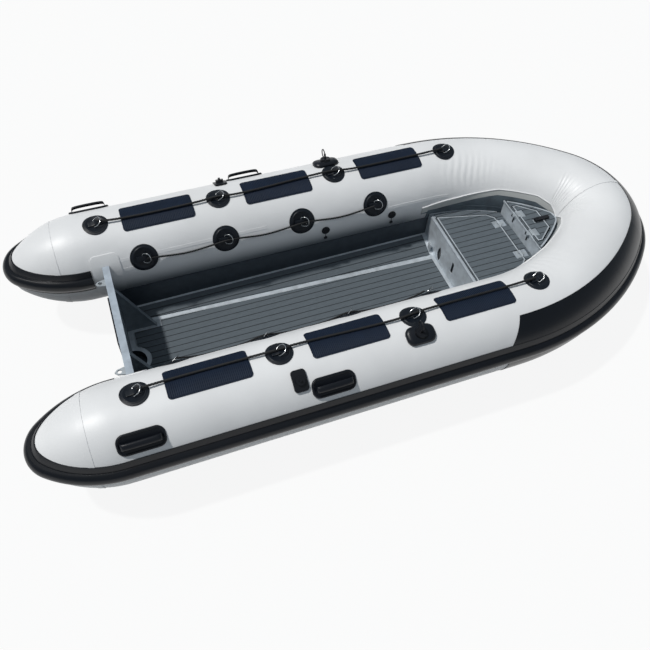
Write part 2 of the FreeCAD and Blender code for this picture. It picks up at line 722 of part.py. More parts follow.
def ring_shape(along, side, angle):
    """A wire D-ring that stands across the tube: a straight bar and a bow."""
    wire = size("ring_wire")
    reach = size("ring_reach")
    lift = size("patch_thick") + size("patch_boss_thick") + wire + size("skin_gap")
    left = FreeCAD.Vector(0, -reach, 0)
    right = FreeCAD.Vector(0, reach, 0)
    bar = Part.makeCylinder(wire, 2 * reach, left, LEFT)
    bow = Part.makeTorus(reach, wire, ORIGIN, FORWARD, 0, FULL_TURN, FULL_TURN / 2)
    ends = [Part.makeSphere(wire, left), Part.makeSphere(wire, right)]
    if bow.CenterOfMass.z < 0:
        bow.rotate(ORIGIN, FORWARD, FULL_TURN / 2)
    if abs(bow.CenterOfMass.y) > wire:
        bow.rotate(ORIGIN, FORWARD, QUARTER if bow.CenterOfMass.y > 0 else -QUARTER)
    ring = bar.fuse([bow] + ends)
    ring.Placement = seat(along, side, angle, lift)
    return ring


def ring_rows(side, word):
    top = ring_places("ring_")
    inner = ring_places("inner_")
    radius = size("patch_radius")
    angle = size("ring_angle")
    shaped("ring_patches_top_" + word, compound([patch_shape(x, side, angle, radius) for x in top]))
    shaped("rings_top_" + word, compound([ring_shape(x, side, angle) for x in top]))
    radius = size("inner_patch_radius")
    angle = size("inner_angle")
    shaped("ring_patches_inner_" + word, compound([patch_shape(x, side, angle, radius) for x in inner]))
    shaped("rings_inner_" + word, compound([ring_shape(x, side, angle) for x in inner]))


def wear_pads(side, word):
    inner = size("tube_radius") + size("skin_gap")
    outer = size("tube_radius") + size("pad_thick")
    face = ring_face(inner, outer, size("pad_start_angle"), size("pad_start_angle") + size("pad_sweep"))
    length = size("pad_length")
    chord = 2 * outer * math.sin(math.radians(size("pad_sweep") / 2))
    pads = []
    for first in ("pad_first", "pad_second", "pad_third"):
        start = size(first)
        sleeve = straight_sleeve(face, start, start + length, side)
        trim = rounded_block(length, chord, size("pad_corner"), size("tube_radius"))
        trim.Placement = seat(start + length / 2, side, size("pad_start_angle") + size("pad_sweep") / 2)
        pads.append(sleeve.common(trim))
    shaped("wear_pads_" + word, compound(pads))


def grip_path(length, rise):
    """A handle's line: up from one foot, along, and down to the other."""
    half = length / 2
    left_foot = FreeCAD.Vector(-half - rise, 0, 0)
    left_top = FreeCAD.Vector(-half, 0, rise)
    right_top = FreeCAD.Vector(half, 0, rise)
    right_foot = FreeCAD.Vector(half + rise, 0, 0)
    part_way = rise * math.sin(math.radians(QUARTER / 2))
    left_middle = FreeCAD.Vector(-half - part_way, 0, part_way)
    right_middle = FreeCAD.Vector(half + part_way, 0, part_way)
    edges = [Part.Arc(left_foot, left_middle, left_top).toShape(),
             Part.LineSegment(left_top, right_top).toShape(),
             Part.Arc(right_top, right_middle, right_foot).toShape()]
    return Part.Wire(edges)


def handle_shape(along, side):
    frame = seat(along, side, size("handle_angle"))
    base = rounded_block(size("handle_length"), size("handle_width"), size("handle_corner"), 4 * OVERRUN)
    base.Placement = frame
    base = on_skin(base, side, size("skin_gap"), size("handle_thick"), along)
    path = grip_path(size("grip_length"), size("grip_rise"))
    start = path.Edges[0].valueAt(path.Edges[0].FirstParameter)
    section = Part.Wire([Part.Circle(start, UP, size("grip_radius")).toShape()])
    grip = path.makePipeShell([section], True, False)
    grip.Placement = frame
    clear = Part.makeCylinder(size("tube_radius") + size("skin_gap"), 2 * size("handle_length"),
                              FreeCAD.Vector(along - size("handle_length"), side * size("half_beam"),
                                             size("axis_height")), FORWARD)
    return base.fuse(grip).cut(clear).removeSplitter()


def carry_handles(side, word):
    handles = [handle_shape(size(place_name), side) for place_name in ("handle_first", "handle_second")]
    shaped("carry_handles_" + word, compound(handles))


def paddle_clip(side):
    along = size("clip_place")
    frame = seat(along, side, size("clip_angle"))
    base = rounded_block(size("clip_length"), size("clip_width"), size("clip_corner"), 4 * OVERRUN)
    base.Placement = frame
    base = on_skin(base, side, size("skin_gap"), size("clip_thick"), along)
    root = FreeCAD.Vector(0, 0, size("patch_thick"))
    top = size("clip_thick") + size("clip_boss_rise")
    boss = Part.makeCylinder(size("clip_boss_radius"), top - root.z, root)
    peg = Part.makeCylinder(size("clip_peg_radius"), top + size("clip_peg_rise") - root.z, root)
    boss.Placement = frame
    peg.Placement = frame
    return base.fuse([boss, peg]).removeSplitter()


def rowlock(side):
    along = size("rowlock_place")
    frame = seat(along, side, size("rowlock_angle"))
    block = rounded_block(size("rowlock_length"), size("rowlock_width"), size("rowlock_corner"), 4 * OVERRUN)
    block.Placement = frame
    base = on_skin(block, side, size("skin_gap"), size("patch_thick"), along)
    boss = Part.makeCone(size("rowlock_boss_foot"), size("rowlock_boss_radius"),
                         size("rowlock_boss_rise") - size("patch_thick") / 2,
                         FreeCAD.Vector(0, 0, size("patch_thick") / 2))
    bore_depth = size("rowlock_boss_rise") - size("patch_thick")
    bore = Part.makeCylinder(size("rowlock_bore"), bore_depth + OVERRUN,
                             FreeCAD.Vector(0, 0, size("patch_thick")))
    boss = boss.cut(bore)
    boss.Placement = frame
    bore.Placement = frame
    stand = base.fuse(boss).cut(bore).removeSplitter()
    pin_foot = size("patch_thick") + size("skin_gap")
    pin_top = size("rowlock_boss_rise") + size("rowlock_pin_rise")
    pin = Part.makeCylinder(size("rowlock_pin_radius"), pin_top - pin_foot, FreeCAD.Vector(0, 0, pin_foot))
    ring_wire = size("ring_wire")
    ring_centre = FreeCAD.Vector(0, size("rowlock_ring_radius"), pin_top - 2 * ring_wire)
    ring = Part.makeTorus(size("rowlock_ring_radius"), ring_wire, ring_centre, FORWARD)
    steel = pin.fuse(ring)
    steel.Placement = frame
    return [stand, steel]


def valves():
    pieces = []
    for side in (PORT, STARBOARD):
        for place_name in ("valve_first", "valve_second"):
            along = size(place_name)
            frame = seat(along, side, size("valve_angle"))
            disc = Part.makeCylinder(size("valve_radius"), 2 * OVERRUN, FreeCAD.Vector(0, 0, -OVERRUN))
            disc.Placement = frame
            collar = on_skin(disc, side, size("skin_gap"), size("valve_rise"), along)
            cap = Part.makeCylinder(size("valve_cap_radius"), size("valve_cap_rise"),
                                    FreeCAD.Vector(0, 0, size("valve_rise") / 2))
            cap.Placement = frame
            pieces.append(collar.fuse(cap).removeSplitter())
    shaped("inflation_valves", compound(pieces))


def transom_patch(side, word):
    inner = size("tube_radius") + size("skin_gap")
    outer = inner + size("patch_thick")
    spare = size("patch_spare")
    face = ring_face(inner, outer, size("patch_from") - spare, size("patch_to") + spare)
    sleeve = straight_sleeve(face, -size("patch_aft") - OVERRUN, size("patch_ahead") + OVERRUN, side)
    length = size("patch_ahead") + size("patch_aft")
    chord = 2 * outer * math.sin(math.radians((size("patch_to") - size("patch_from")) / 2))
    trim = rounded_block(length, chord, size("patch_corner"), size("tube_radius"))
    trim.Placement = seat((size("patch_ahead") - size("patch_aft")) / 2, side,
                          (size("patch_from") + size("patch_to")) / 2)
    sleeve = sleeve.common(trim)
    slot = Part.makeBox(size("transom_thick") + 2 * size("skin_gap"), size("tube_radius"), size("transom_top"),
                        FreeCAD.Vector(-size("skin_gap"), 0, 0))
    slot.translate(LEFT * (side * size("half_beam") - size("tube_radius") * (1 if side == PORT else 0)))
    slot.translate(LEFT * side * -size("tube_radius") / 2)
    roof = size("transom_top") + size("cap_thick") + size("skin_gap")
    high = Part.makeBox(2 * size("transom_half"), 4 * size("transom_half"), size("transom_top"),
                        FreeCAD.Vector(-size("transom_half"), -2 * size("transom_half"), roof))
    slot = slot.cut(high)
    return shaped("transom_patch_" + word, sleeve.cut(slot))


# Hull


def hull_shell():
    """V bottom lofted from straight sections, with low sides that carry the tubes."""
    chine = size("chine_height")
    inset = size("chine_inset")
    low = -size("keel_depth")
    nose = nose_radius() - inset
    stem = nose_centre().x + nose
    knee = size("keel_straight")
    keel_shares = ((0.0, 0.0), (0.35, 0.06), (0.6, 0.22), (0.8, 0.48), (0.92, 0.74), (1.0, 0.995))
    wires = []
    places = [(size("transom_thick"), low)]
    for share, rise in keel_shares:
        places.append((knee + share * (stem - knee - OVERRUN), low + rise * (chine - low)))
    for along, keel in places:
        off = chine_off(along, inset)
        corners = [FreeCAD.Vector(along, -off, chine), FreeCAD.Vector(along, 0, keel),
                   FreeCAD.Vector(along, off, chine),
                   FreeCAD.Vector(along, 0, chine + size("floor_crown")),
                   FreeCAD.Vector(along, -off, chine)]
        wires.append(Part.makePolygon(corners))
    bottom = Part.makeLoft(wires, True, True)
    sides = plan_prism(inset, size("transom_thick"), chine, size("wall_top"))
    hollow = plan_prism(size("wall_inset"), 0, size("hull_deck"), size("transom_top"))
    sides = sides.cut([hollow] + collar_solid(size("skin_gap")))
    sump = Part.makeCylinder(size("sump_radius"), size("sump_depth"),
                             FreeCAD.Vector(size("transom_thick"), 0, size("hull_deck") - size("sump_depth")))
    whole = bottom.fuse(sides).cut(sump).removeSplitter()
    return shaped("hull_shell", whole)


def chine_off(along, inset):
    """Half-width of a line drawn a given inset from the tube's axis."""
    end = size("straight_end")
    turned = math.radians(size("shoulder_angle"))
    shoulder = size("shoulder_radius") - inset
    if along <= end:
        return size("half_beam") - inset
    if along <= end + shoulder * math.sin(turned):
        angle = math.asin((along - end) / shoulder)
        return size("half_beam") - size("shoulder_radius") + shoulder * math.cos(angle)
    nose = nose_radius() - inset
    ahead = along - nose_centre().x
    return math.sqrt(nose * nose - ahead * ahead)


def keel_strip():
    low = "-keel_depth"
    foot = "-keel_depth - keel_bar_thick"
    corners = [("transom_thick", low), ("transom_thick", foot), ("keel_straight", foot), ("keel_straight", low)]
    body = plate("keel_strip", "XZ_Plane", corners, "keel_bar_width", middle=True)
    return node(body, "keel_strip")


# Transom and its fittings


def transom():
    corners = [("0", "-keel_depth"), ("half_beam - chine_inset", "chine_height"),
               ("half_beam - chine_inset", "chine_height * 2"), ("transom_half", "axis_height"),
               ("transom_half", "transom_top"), ("-transom_half", "transom_top"),
               ("-transom_half", "axis_height"), ("chine_inset - half_beam", "chine_height * 2"),
               ("chine_inset - half_beam", "chine_height")]
    board = plate("transom_board", "YZ_Plane", corners, "transom_thick")
    tool = helper("collar_clearance", compound(collar_solid(size("skin_gap"))))
    doc.recompute()
    cut = doc.addObject("Part::Cut", "transom_plate")
    cut.Base = board
    cut.Tool = tool
    return node(cut, "transom_plate"), tool


def transom_cap(tool):
    corners = [("-cap_overhang", "cap_half"), ("transom_thick + cap_overhang", "cap_half"),
               ("transom_thick + cap_overhang", "-cap_half"), ("-cap_overhang", "-cap_half")]
    strip = plate("cap_strip", "XY_Plane", corners, "cap_thick")
    place(strip, "0", "0", "transom_top")
    cut = doc.addObject("Part::Cut", "transom_cap")
    cut.Base = strip
    cut.Tool = tool
    return node(cut, "transom_cap")


def motor_pad():
    corners = [("-motor_pad_half", "motor_pad_foot"), ("motor_pad_half", "motor_pad_foot"),
               ("motor_pad_half", "motor_pad_top"), ("-motor_pad_half", "motor_pad_top")]
    body = plate("motor_pad", "YZ_Plane", corners, "motor_pad_thick", backwards=True)
    return node(body, "motor_pad")


def transom_knee(side, word):
    foot = "hull_deck + deck_thick"
    name = "transom_knee_" + word
    corners = [("transom_thick", foot), ("transom_thick + knee_run", foot),
               ("transom_thick", foot + " + knee_rise")]
    body = doc.addObject("PartDesign::Body", name)
    pad(body, outline_sketch(body, name + "_web", "XZ_Plane", corners), "knee_thick", middle=True)
    flange = [("transom_thick + knee_run", foot), ("transom_thick", foot + " + knee_rise"),
              ("transom_thick", foot + " + knee_rise - flange_drop"),
              ("transom_thick + knee_run - flange_back", foot)]
    pad(body, outline_sketch(body, name + "_flange", "XZ_Plane", flange), "knee_flange", middle=True)
    place(body, "0", "%d * knee_place" % side, "0")
    return node(body, name)


def tow_eye(side, word):
    name = "tow_eye_" + word
    corners = [("0", "-tow_eye_half"), ("0", "tow_eye_half"),
               ("-tow_eye_reach - tow_eye_bore", "tow_eye_shoulder"), ("-tow_eye_reach - tow_eye_half", "0"),
               ("-tow_eye_reach - tow_eye_bore", "-tow_eye_shoulder")]
    body = plate(name, "XY_Plane", corners, "tow_eye_thick", middle=True)
    hole = circle_sketch(body, name + "_bore", "XY_Plane", "-tow_eye_reach", "0", "tow_eye_bore")
    pocket(body, hole)
    place(body, "0", "%d * tow_eye_place" % side, "tow_eye_height")
    return node(body, name)


# Deck and mats


def deck_half():
    return size("half_beam") - size("wall_inset") - size("deck_clear")


def bend_line(side):
    """Ends of the floor's bend on one side, and the upward normal of the floor outboard of it."""
    top = size("hull_deck") + size("deck_thick")
    aft = FreeCAD.Vector(size("transom_thick"), side * size("bend_aft"), top)
    fore = FreeCAD.Vector(size("locker_front"), side * size("bend_fore"), top)
    wall = FreeCAD.Vector(size("transom_thick"), side * deck_half(), top + size("slope_aft"))
    normal = (fore - aft).cross(wall - aft) * side
    normal.normalize()
    return aft, fore, normal


def on_slope(along, off, side):
    """A point on the sloped floor's top at a place in plan."""
    aft, fore, normal = bend_line(side)
    ahead = (along - aft.x) * normal.x + (side * off - aft.y) * normal.y
    return FreeCAD.Vector(along, side * off, aft.z - ahead / normal.z)


def bend_off(along):
    share = (along - size("transom_thick")) / (size("locker_front") - size("transom_thick"))
    return size("bend_aft") + share * (size("bend_fore") - size("bend_aft"))


def floor_slope(side):
    """Wedge that carries the sloped floor from the bend to the wall."""
    sections = []
    for along in (size("transom_thick"), size("locker_front")):
        bend = on_slope(along, bend_off(along), side)
        wall = on_slope(along, deck_half(), side)
        foot = FreeCAD.Vector(along, wall.y, bend.z)
        sections.append(Part.makePolygon([bend, foot, wall, bend]))
    return Part.makeLoft(sections, True, True)


def deck_plate():
    """Flat floor between the bends and a sloped floor outboard of each."""
    start = size("transom_thick")
    inset = size("wall_inset") + size("deck_clear")
    low = size("hull_deck")
    slab = plan_prism(inset, start, low, low + size("deck_thick"))
    ahead = Part.makeBox(size("straight_end"), 2 * size("half_beam"), OVERRUN,
                         FreeCAD.Vector(size("locker_front") + OVERRUN, -size("half_beam"), low - OVERRUN / 2))
    sump = Part.makeCylinder(size("sump_radius"), OVERRUN, FreeCAD.Vector(start, 0, low - OVERRUN / 2))
    slab = slab.cut([ahead, sump]).fuse([floor_slope(PORT), floor_slope(STARBOARD)])
    return shaped("deck_plate", slab.removeSplitter())


def mats():
    """Three foam mats: one on the flat floor and one on each sloped floor."""
    low = "hull_deck + deck_thick"
    end = "locker_front - mat_margin"
    aft = "bend_aft - mat_bend_gap"
    fore = "bend_fore - mat_bend_gap"
    notch = "knee_place - knee_flange"
    knee_end = "transom_thick + knee_run + knee_flange"
    corners = [("mat_start", "-(" + notch + ")"), (knee_end, "-(" + notch + ")"), (knee_end, "-(" + aft + ")"),
               (end, "-(" + fore + ")"), (end, fore), (knee_end, aft), (knee_end, notch), ("mat_start", notch)]
    body = plate("deck_mat_middle", "XY_Plane", corners, "mat_thick")
    hole = circle_sketch(body, "well", "XY_Plane", "transom_thick", "0", "sump_radius + sump_border")
    pocket(body, hole)
    place(body, "0", "0", low)
    node(body, "deck_mat_middle")
    outer = deck_half() - size("mat_wall_gap")
    for side, word in SIDES:
        aft, fore, normal = bend_line(side)
        points = []
        for along in (size("mat_start"), size("locker_front") - size("mat_margin")):
            inner = bend_off(along) + size("mat_bend_gap")
            points.append((on_slope(along, inner, side), on_slope(along, outer, side)))
        outline = [points[0][0], points[0][1], points[1][1], points[1][0], points[0][0]]
        sheet_face = Part.Face(Part.makePolygon(outline))
        shaped("deck_mat_" + word, sheet_face.extrude(normal * size("mat_thick")))


# Bow lockers


def top_plate(name, inset, start, end, height, opening):
    """A top sheet between the tubes, cut off square fore and aft, with an opening."""
    slab = plan_prism(inset, 0, height - size("panel_thick"), height)
    width = 2 * size("half_beam")
    keep = Part.makeBox(end - start, width, size("panel_thick"),
                        FreeCAD.Vector(start, -width / 2, height - size("panel_thick")))
    hole = Part.Face(Part.makePolygon(opening + [opening[0]]))
    hole.translate(UP * (height - OVERRUN / 2))
    return slab.common(keep).cut(hole.extrude(UP * OVERRUN))


def outline_points(corners, grow):
    """Corners of a symmetric outline (along, off), grown by a gap, as points."""
    first = corners[0][0]
    last = corners[-1][0]
    points = []
    for along, off in corners:
        shift = -grow if along == first else grow if along == last else 0
        points.append(FreeCAD.Vector(along + shift, off + grow, 0))
    for along, off in reversed(corners):
        shift = -grow if along == first else grow if along == last else 0
        points.append(FreeCAD.Vector(along + shift, -off - grow, 0))
    return points


def lid_corners():
    return [(size("lid_start"), size("lid_half_aft")),
            (size("lid_end") - size("lid_chamfer"), size("lid_half_fore")),
            (size("lid_end"), size("lid_half_fore") - size("lid_chamfer"))]


def hatch_corners():
    return [(size("hatch_start"), size("hatch_half_aft")),
            (size("hatch_start") + size("hatch_square"), size("hatch_half_aft")),
            (size("hatch_end"), size("hatch_half_fore"))]


def flat_panel(corners, height, thick):
    face = Part.Face(Part.makePolygon(outline_points(corners, 0) + [outline_points(corners, 0)[0]]))
    face.translate(UP * height)
    return face.extrude(UP * thick)


def locker():
    thick = size("panel_thick")
    height = size("locker_height")
    deck = size("hull_deck") + size("deck_thick")
    gap = size("lid_gap")
    liner = size("wall_inset")
    front = plan_prism(liner + size("deck_clear"), 0, deck, height - thick)
    width = 2 * size("half_beam")
    keep = Part.makeBox(thick, width, height, FreeCAD.Vector(size("locker_front"), -width / 2, 0))
    front = front.common(keep).cut(collar_solid(size("liner_thick") + 2 * size("skin_gap")))
    shaped("locker_front", front.cut([leaf_hole(), slot_hole()]))
    opening = outline_points(lid_corners(), gap)
    top = top_plate("locker_top", tube_inset(height, size("liner_thick")), size("locker_front"),
                    size("anchor_face"), height, opening)
    shaped("locker_top", top)
    mat = plan_prism(tube_inset(height, size("liner_thick")) + gap, 0, height, height + size("mat_thick"))
    keep = Part.makeBox(size("anchor_face") - size("lid_start") - size("deck_clear"), width, OVERRUN,
                        FreeCAD.Vector(size("lid_start"), -width / 2, height - OVERRUN / 2))
    hole = Part.Face(Part.makePolygon(opening + [opening[0]]))
    hole.translate(UP * (height - OVERRUN / 2))
    mat = mat.common(keep).cut(hole.extrude(UP * OVERRUN))
    shaped("locker_mat", hinge_cuts(mat, size("lid_end"), size("lid_hinge_half"), height))
    shaped("locker_lid", flat_panel(lid_corners(), height - thick, thick))
    lid_mat = flat_panel(lid_corners(), height, size("mat_thick"))
    shaped("lid_mat", hinge_cuts(lid_mat, size("lid_end"), size("lid_hinge_half"), height))


def leaf_hole():
    """Tool for a hole with two curved sides and pointed ends, in the locker's face."""
    start = size("locker_front") - OVERRUN
    off = size("leaf_hole_off")
    middle = size("leaf_hole_height")
    low = FreeCAD.Vector(start, off, middle - size("leaf_hole_rise"))
    high = FreeCAD.Vector(start, off, middle + size("leaf_hole_rise"))
    left = FreeCAD.Vector(start, off + size("leaf_hole_half"), middle)
    right = FreeCAD.Vector(start, off - size("leaf_hole_half"), middle)
    edges = [Part.Arc(low, left, high).toShape(), Part.Arc(high, right, low).toShape()]
    return Part.Face(Part.Wire(edges)).extrude(FORWARD * 2 * OVERRUN)


def slot_hole():
    """Tool for an upright slot with round ends, in the locker's face."""
    width = size("slot_hole_width")
    block = rounded_block(size("slot_hole_length"), width, width / 3, 2 * OVERRUN)
    centre = FreeCAD.Vector(size("locker_front"), size("slot_hole_off"), size("slot_hole_height"))
    block.Placement = FreeCAD.Placement(centre, FreeCAD.Rotation(LEFT, QUARTER))
    return block


def hinge_cuts(mat, along, off, height):
    """Clear a mat round its hinges, right through its thickness above a height."""
    length = size("hinge_length") + 2 * size("lid_gap")
    reach = size("hinge_leaf") + 2 * size("lid_gap")
    cuts = []
    for side in (PORT, STARBOARD):
        base = FreeCAD.Vector(along - reach, side * off - length / 2, height - OVERRUN / 2)
        cuts.append(Part.makeBox(2 * reach, length, OVERRUN, base))
    return mat.cut(cuts)


def tube_inset(height, sheet_thick):
    """Inset of a flat sheet at a height, clear of the lining on the tube's inner side."""
    radius = size("tube_radius") + size("skin_gap") * 2 + sheet_thick
    return math.sqrt(radius * radius - (height - size("axis_height")) ** 2)


def anchor_locker():
    thick = size("panel_thick")
    height = size("anchor_height")
    low = size("locker_height")
    gap = size("lid_gap")
    width = 2 * size("half_beam")
    inset = tube_inset(height, size("flange_thick"))
    wide = max(inset, size("tube_radius") + size("skin_gap") * 2 + size("flange_thick"))
    front = plan_prism(wide, 0, low, height - thick)
    keep = Part.makeBox(thick, width, height, FreeCAD.Vector(size("anchor_face"), -width / 2, 0))
    shaped("anchor_front", front.common(keep))
    opening = outline_points(hatch_corners(), gap)
    end = nose_centre().x + nose_radius()
    top = top_plate("anchor_top", wide, size("anchor_face"), end, height, opening)
    shaped("anchor_top", top)
    mat = plan_prism(wide + gap, 0, height, height + size("mat_thick"))
    keep = Part.makeBox(end - size("anchor_face") - gap, width, OVERRUN,
                        FreeCAD.Vector(size("anchor_face") + gap, -width / 2, height - OVERRUN / 2))
    hole = Part.Face(Part.makePolygon(opening + [opening[0]]))
    hole.translate(UP * (height - OVERRUN / 2))
    mat = mat.common(keep).cut(hole.extrude(UP * OVERRUN))
    shaped("anchor_mat", hinge_cuts(mat, size("hatch_start"), size("hatch_hinge_half"), height))
    shaped("anchor_hatch", flat_panel(hatch_corners(), height - thick, thick))
    hatch_mat = flat_panel(hatch_corners(), height, size("mat_thick"))
    latch_gap = Part.makeBox(size("latch_length") + 2 * gap, size("latch_width") + 2 * gap, OVERRUN,
                             FreeCAD.Vector(size("hatch_end") - size("latch_back") - gap,
                                            -size("latch_width") / 2 - gap, height))
    hatch_mat = hatch_mat.cut(latch_gap)
    shaped("hatch_mat", hinge_cuts(hatch_mat, size("hatch_start"), size("hatch_hinge_half"), height))


def liner_and_flange():
    """Hull sheet and fabric flange that line the tube's inner side round the bow."""
    inner = size("tube_radius") + size("skin_gap")
    pieces = []
    for low, high, thick in ((size("liner_top_angle"), size("liner_foot_angle"), size("liner_thick")),
                             (size("flange_top_angle"), size("liner_top_angle") - size("skin_gap"),
                              size("flange_thick"))):
        face = ring_face(inner, inner + thick, low, high)
        halves = []
        for side in (PORT, STARBOARD):
            halves.append(shoulder_sleeve(face, side))
            halves.append(nose_sleeve(face, side))
        pieces.append(joined(halves))
    shaped("bow_liner", pieces[0])
    shaped("tube_flange", pieces[1])


def hinge_pair(leaf_name, along, height, off, fixed_ahead):
    """Two butt hinges: the fixed leaf has the middle knuckle and the pin."""
    length = size("hinge_length")
    knuckle = size("hinge_knuckle")
    slack = size("hinge_slack")
    pin = size("hinge_pin")
    leaf = size("hinge_leaf")
    thick = size("hinge_leaf_thick")
    third = length / 3
    axis_height = height + knuckle + slack
    fixed = []
    moving = []
    for side in (PORT, STARBOARD):
        centre = side * off
        start = FreeCAD.Vector(along, centre - length / 2, axis_height)
        middle = Part.makeCylinder(knuckle, third - 2 * slack, start + LEFT * (third + slack), LEFT)
        rod = Part.makeCylinder(pin, length, start, LEFT)
        fixed_base = FreeCAD.Vector(along if fixed_ahead else along - leaf, centre - third / 2 + slack, height)
        fixed_leaf = Part.makeBox(leaf, third - 2 * slack, thick, fixed_base)
        fixed.append(middle.fuse([rod, fixed_leaf]).removeSplitter())
        bore = Part.makeCylinder(pin + slack, length, start, LEFT)
        ends = []
        for shift in (0, 2 * third):
            end = Part.makeCylinder(knuckle, third - slack, start + LEFT * (shift + slack / 2), LEFT)
            base = FreeCAD.Vector(along - leaf if fixed_ahead else along, start.y + shift + slack / 2, height)
            ends.append(end.fuse(Part.makeBox(leaf, third - slack, thick, base)).cut(bore))
        bridge_start = along - leaf if fixed_ahead else along + leaf / 2
        bridge = Part.makeBox(leaf / 2, length, thick, FreeCAD.Vector(bridge_start, start.y, height))
        moving.append(ends[0].fuse([ends[1], bridge]).removeSplitter())
    shaped(leaf_name, compound(moving))
    return fixed


def latch():
    length = size("latch_length")
    width = size("latch_width")
    block = rounded_block(length, width, width / 3, size("latch_thick"))
    centre = size("hatch_end") - size("latch_back") + length / 2
    foot = size("anchor_height")
    block.translate(FreeCAD.Vector(centre, 0, foot + size("mat_thick") + size("latch_lift")
                                   + size("latch_thick") / 2))
    post = Part.makeCylinder(width / 4, size("mat_thick") + size("latch_thick"),
                             FreeCAD.Vector(centre - length / 3, 0, foot))
    return shaped("hatch_latch", block.fuse(post).removeSplitter())


def bow_eye():
    wire = size("bow_eye_wire")
    reach = size("bow_eye_reach")
    stem = nose_centre().x + nose_radius() - size("chine_inset")
    height = size("chine_height") + 2 * wire
    ring = Part.makeTorus(reach, wire, FreeCAD.Vector(stem, 0, height), LEFT)
    stem_block = plan_prism(size("chine_inset") - size("skin_gap"), 0, 0, size("wall_top"))
    return shaped("bow_eye", ring.cut(stem_block))


# Ropes

SWAY_SHARES = (0.0, 0.6, -0.5, 0.4)
SAG_SHARES = ((0.2, 0.46), (0.5, 1.0), (0.8, 0.62))
TRIM_SHARE = 0.45


def cord_wire(points):
    """Straight runs joined by tangent arcs as large as the runs allow."""
    edges = []
    radii = []
    last = points[0]
    for index in range(1, len(points) - 1):
        corner = points[index]
        back = (points[index - 1] - corner)
        ahead = (points[index + 1] - corner)
        short = min(back.Length, ahead.Length)
        back.normalize()
        ahead.normalize()
        turn = math.pi - back.getAngle(ahead)
        trim = TRIM_SHARE * short
        radius = trim / math.tan(turn / 2)
        radii.append(radius)
        start = corner + back * trim
        end = corner + ahead * trim
        bisector = back + ahead
        bisector.normalize()
        middle = corner + bisector * (radius / math.cos(turn / 2) - radius)
        edges.append(Part.LineSegment(last, start).toShape())
        edges.append(Part.Arc(start, middle, end).toShape())
        last = end
    edges.append(Part.LineSegment(last, points[-1]).toShape())
    return Part.Wire(edges), radii


def cord_tube(name, points, radius):
    wire, radii = cord_wire(points)
    first = points[1] - points[0]
    section = Part.Wire([Part.Circle(points[0], first, radius).toShape()])
    tube = wire.makePipeShell([section], True, False)
    shaped(name, tube)
    ideal = math.pi * radius * radius * wire.Length
    print(name, "length %.0f" % wire.Length, "least radius %.0f" % min(radii),
          "volume share %.4f" % (tube.Volume / ideal))


def rope_point(along, side, angle, lift):
    return seat(along, side, angle, lift).Base


def lifeline(side, word):
    """Along the tube's top, through the four rings and flat over the pads."""
    angle = size("ring_angle")
    rings = ring_places("ring_")
    through = size("lifeline_through")
    resting = size("lifeline_resting")
    away = size("rope_away")
    tail = size("rope_tail")
    points = [rope_point(rings[0] + tail, side, angle, through)]
    for index, along in enumerate(rings):
        sway = SWAY_SHARES[index]
        if index:
            wander = size("lifeline_swing") * sway
            points.append(rope_point(along - away, side, angle + wander, resting + size("lifeline_lift")))
            points.append(rope_point(along, side, angle + sway, through))
        if index < len(rings) - 1:
            points.append(rope_point(along + away, side, angle + size("lifeline_lean") + sway, resting))
    points[-1] = rope_point(rings[-1] - tail, side, angle, through)
    cord_tube("lifeline_" + word, points, size("lifeline_radius"))


def grab_line(side, word):
    """Inside the boat, through the four inner rings, with a little sag between them."""
    angle = size("inner_angle")
    rings = ring_places("inner_")
    through = size("grab_through")
    tail = size("rope_tail")
    points = [rope_point(rings[0] + tail, side, angle, through)]
    for start, end in zip(rings, rings[1:]):
        for along_share, sag_share in SAG_SHARES:
            along = start + along_share * (end - start)
            points.append(rope_point(along, side, angle + sag_share * size("grab_sag"), size("grab_resting")))
        points.append(rope_point(end, side, angle, through))
    points[-1] = rope_point(rings[-1] - tail, side, angle, through)
    cord_tube("grab_line_" + word, points, size("grab_radius"))


def build():
    for side, word in SIDES:
        side_tube(side, word)
        bow_tube(side, word)
        stern_cone(side, word)
        rub_strake(side, word)
        wear_pads(side, word)
        ring_rows(side, word)
        carry_handles(side, word)
        transom_patch(side, word)
        transom_knee(side, word)
        tow_eye(side, word)
        lifeline(side, word)
        grab_line(side, word)
    bow_guard()
    shaped("paddle_clips", compound([paddle_clip(side) for side, word in SIDES]))
    shaped("rowlocks", compound([piece for side, word in SIDES for piece in rowlock(side)]))
    valves()
    hull_shell()
    keel_strip()
    board, tool = transom()
    transom_cap(tool)
    motor_pad()
    deck_plate()
    mats()
    locker()
    anchor_locker()
    liner_and_flange()
    fixed = hinge_pair("lid_hinge_leaves", size("lid_end") + size("lid_gap") / 2,
                       size("locker_height"), size("lid_hinge_half"), True)
    fixed += hinge_pair("hatch_hinge_leaves", size("hatch_start") - size("lid_gap") / 2,
                        size("anchor_height"), size("hatch_hinge_half"), False)
    shaped("fixed_hinge_leaves", compound(fixed))
    latch()
    bow_eye()


def write_nodes():
    doc.recompute()
    for thing in doc.Objects:
        if "Invalid" in thing.State or "Error" in thing.State:
            raise RuntimeError("failed object: " + thing.Name)
    for thing in nodes:
        if thing.Shape.isNull() or not thing.Shape.isValid():
            raise RuntimeError("bad shape: " + thing.Label)
        thing.Shape.exportStep("parts/" + thing.Label + ".step")
        print(thing.Label, "solids", len(thing.Shape.Solids), "volume %.0f" % thing.Shape.Volume)
    print("nodes", len(nodes))


build()
write_nodes()
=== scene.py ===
"""Looks of a small rigid inflatable boat: white coated fabric, black rubber, rope, foam and aluminium."""

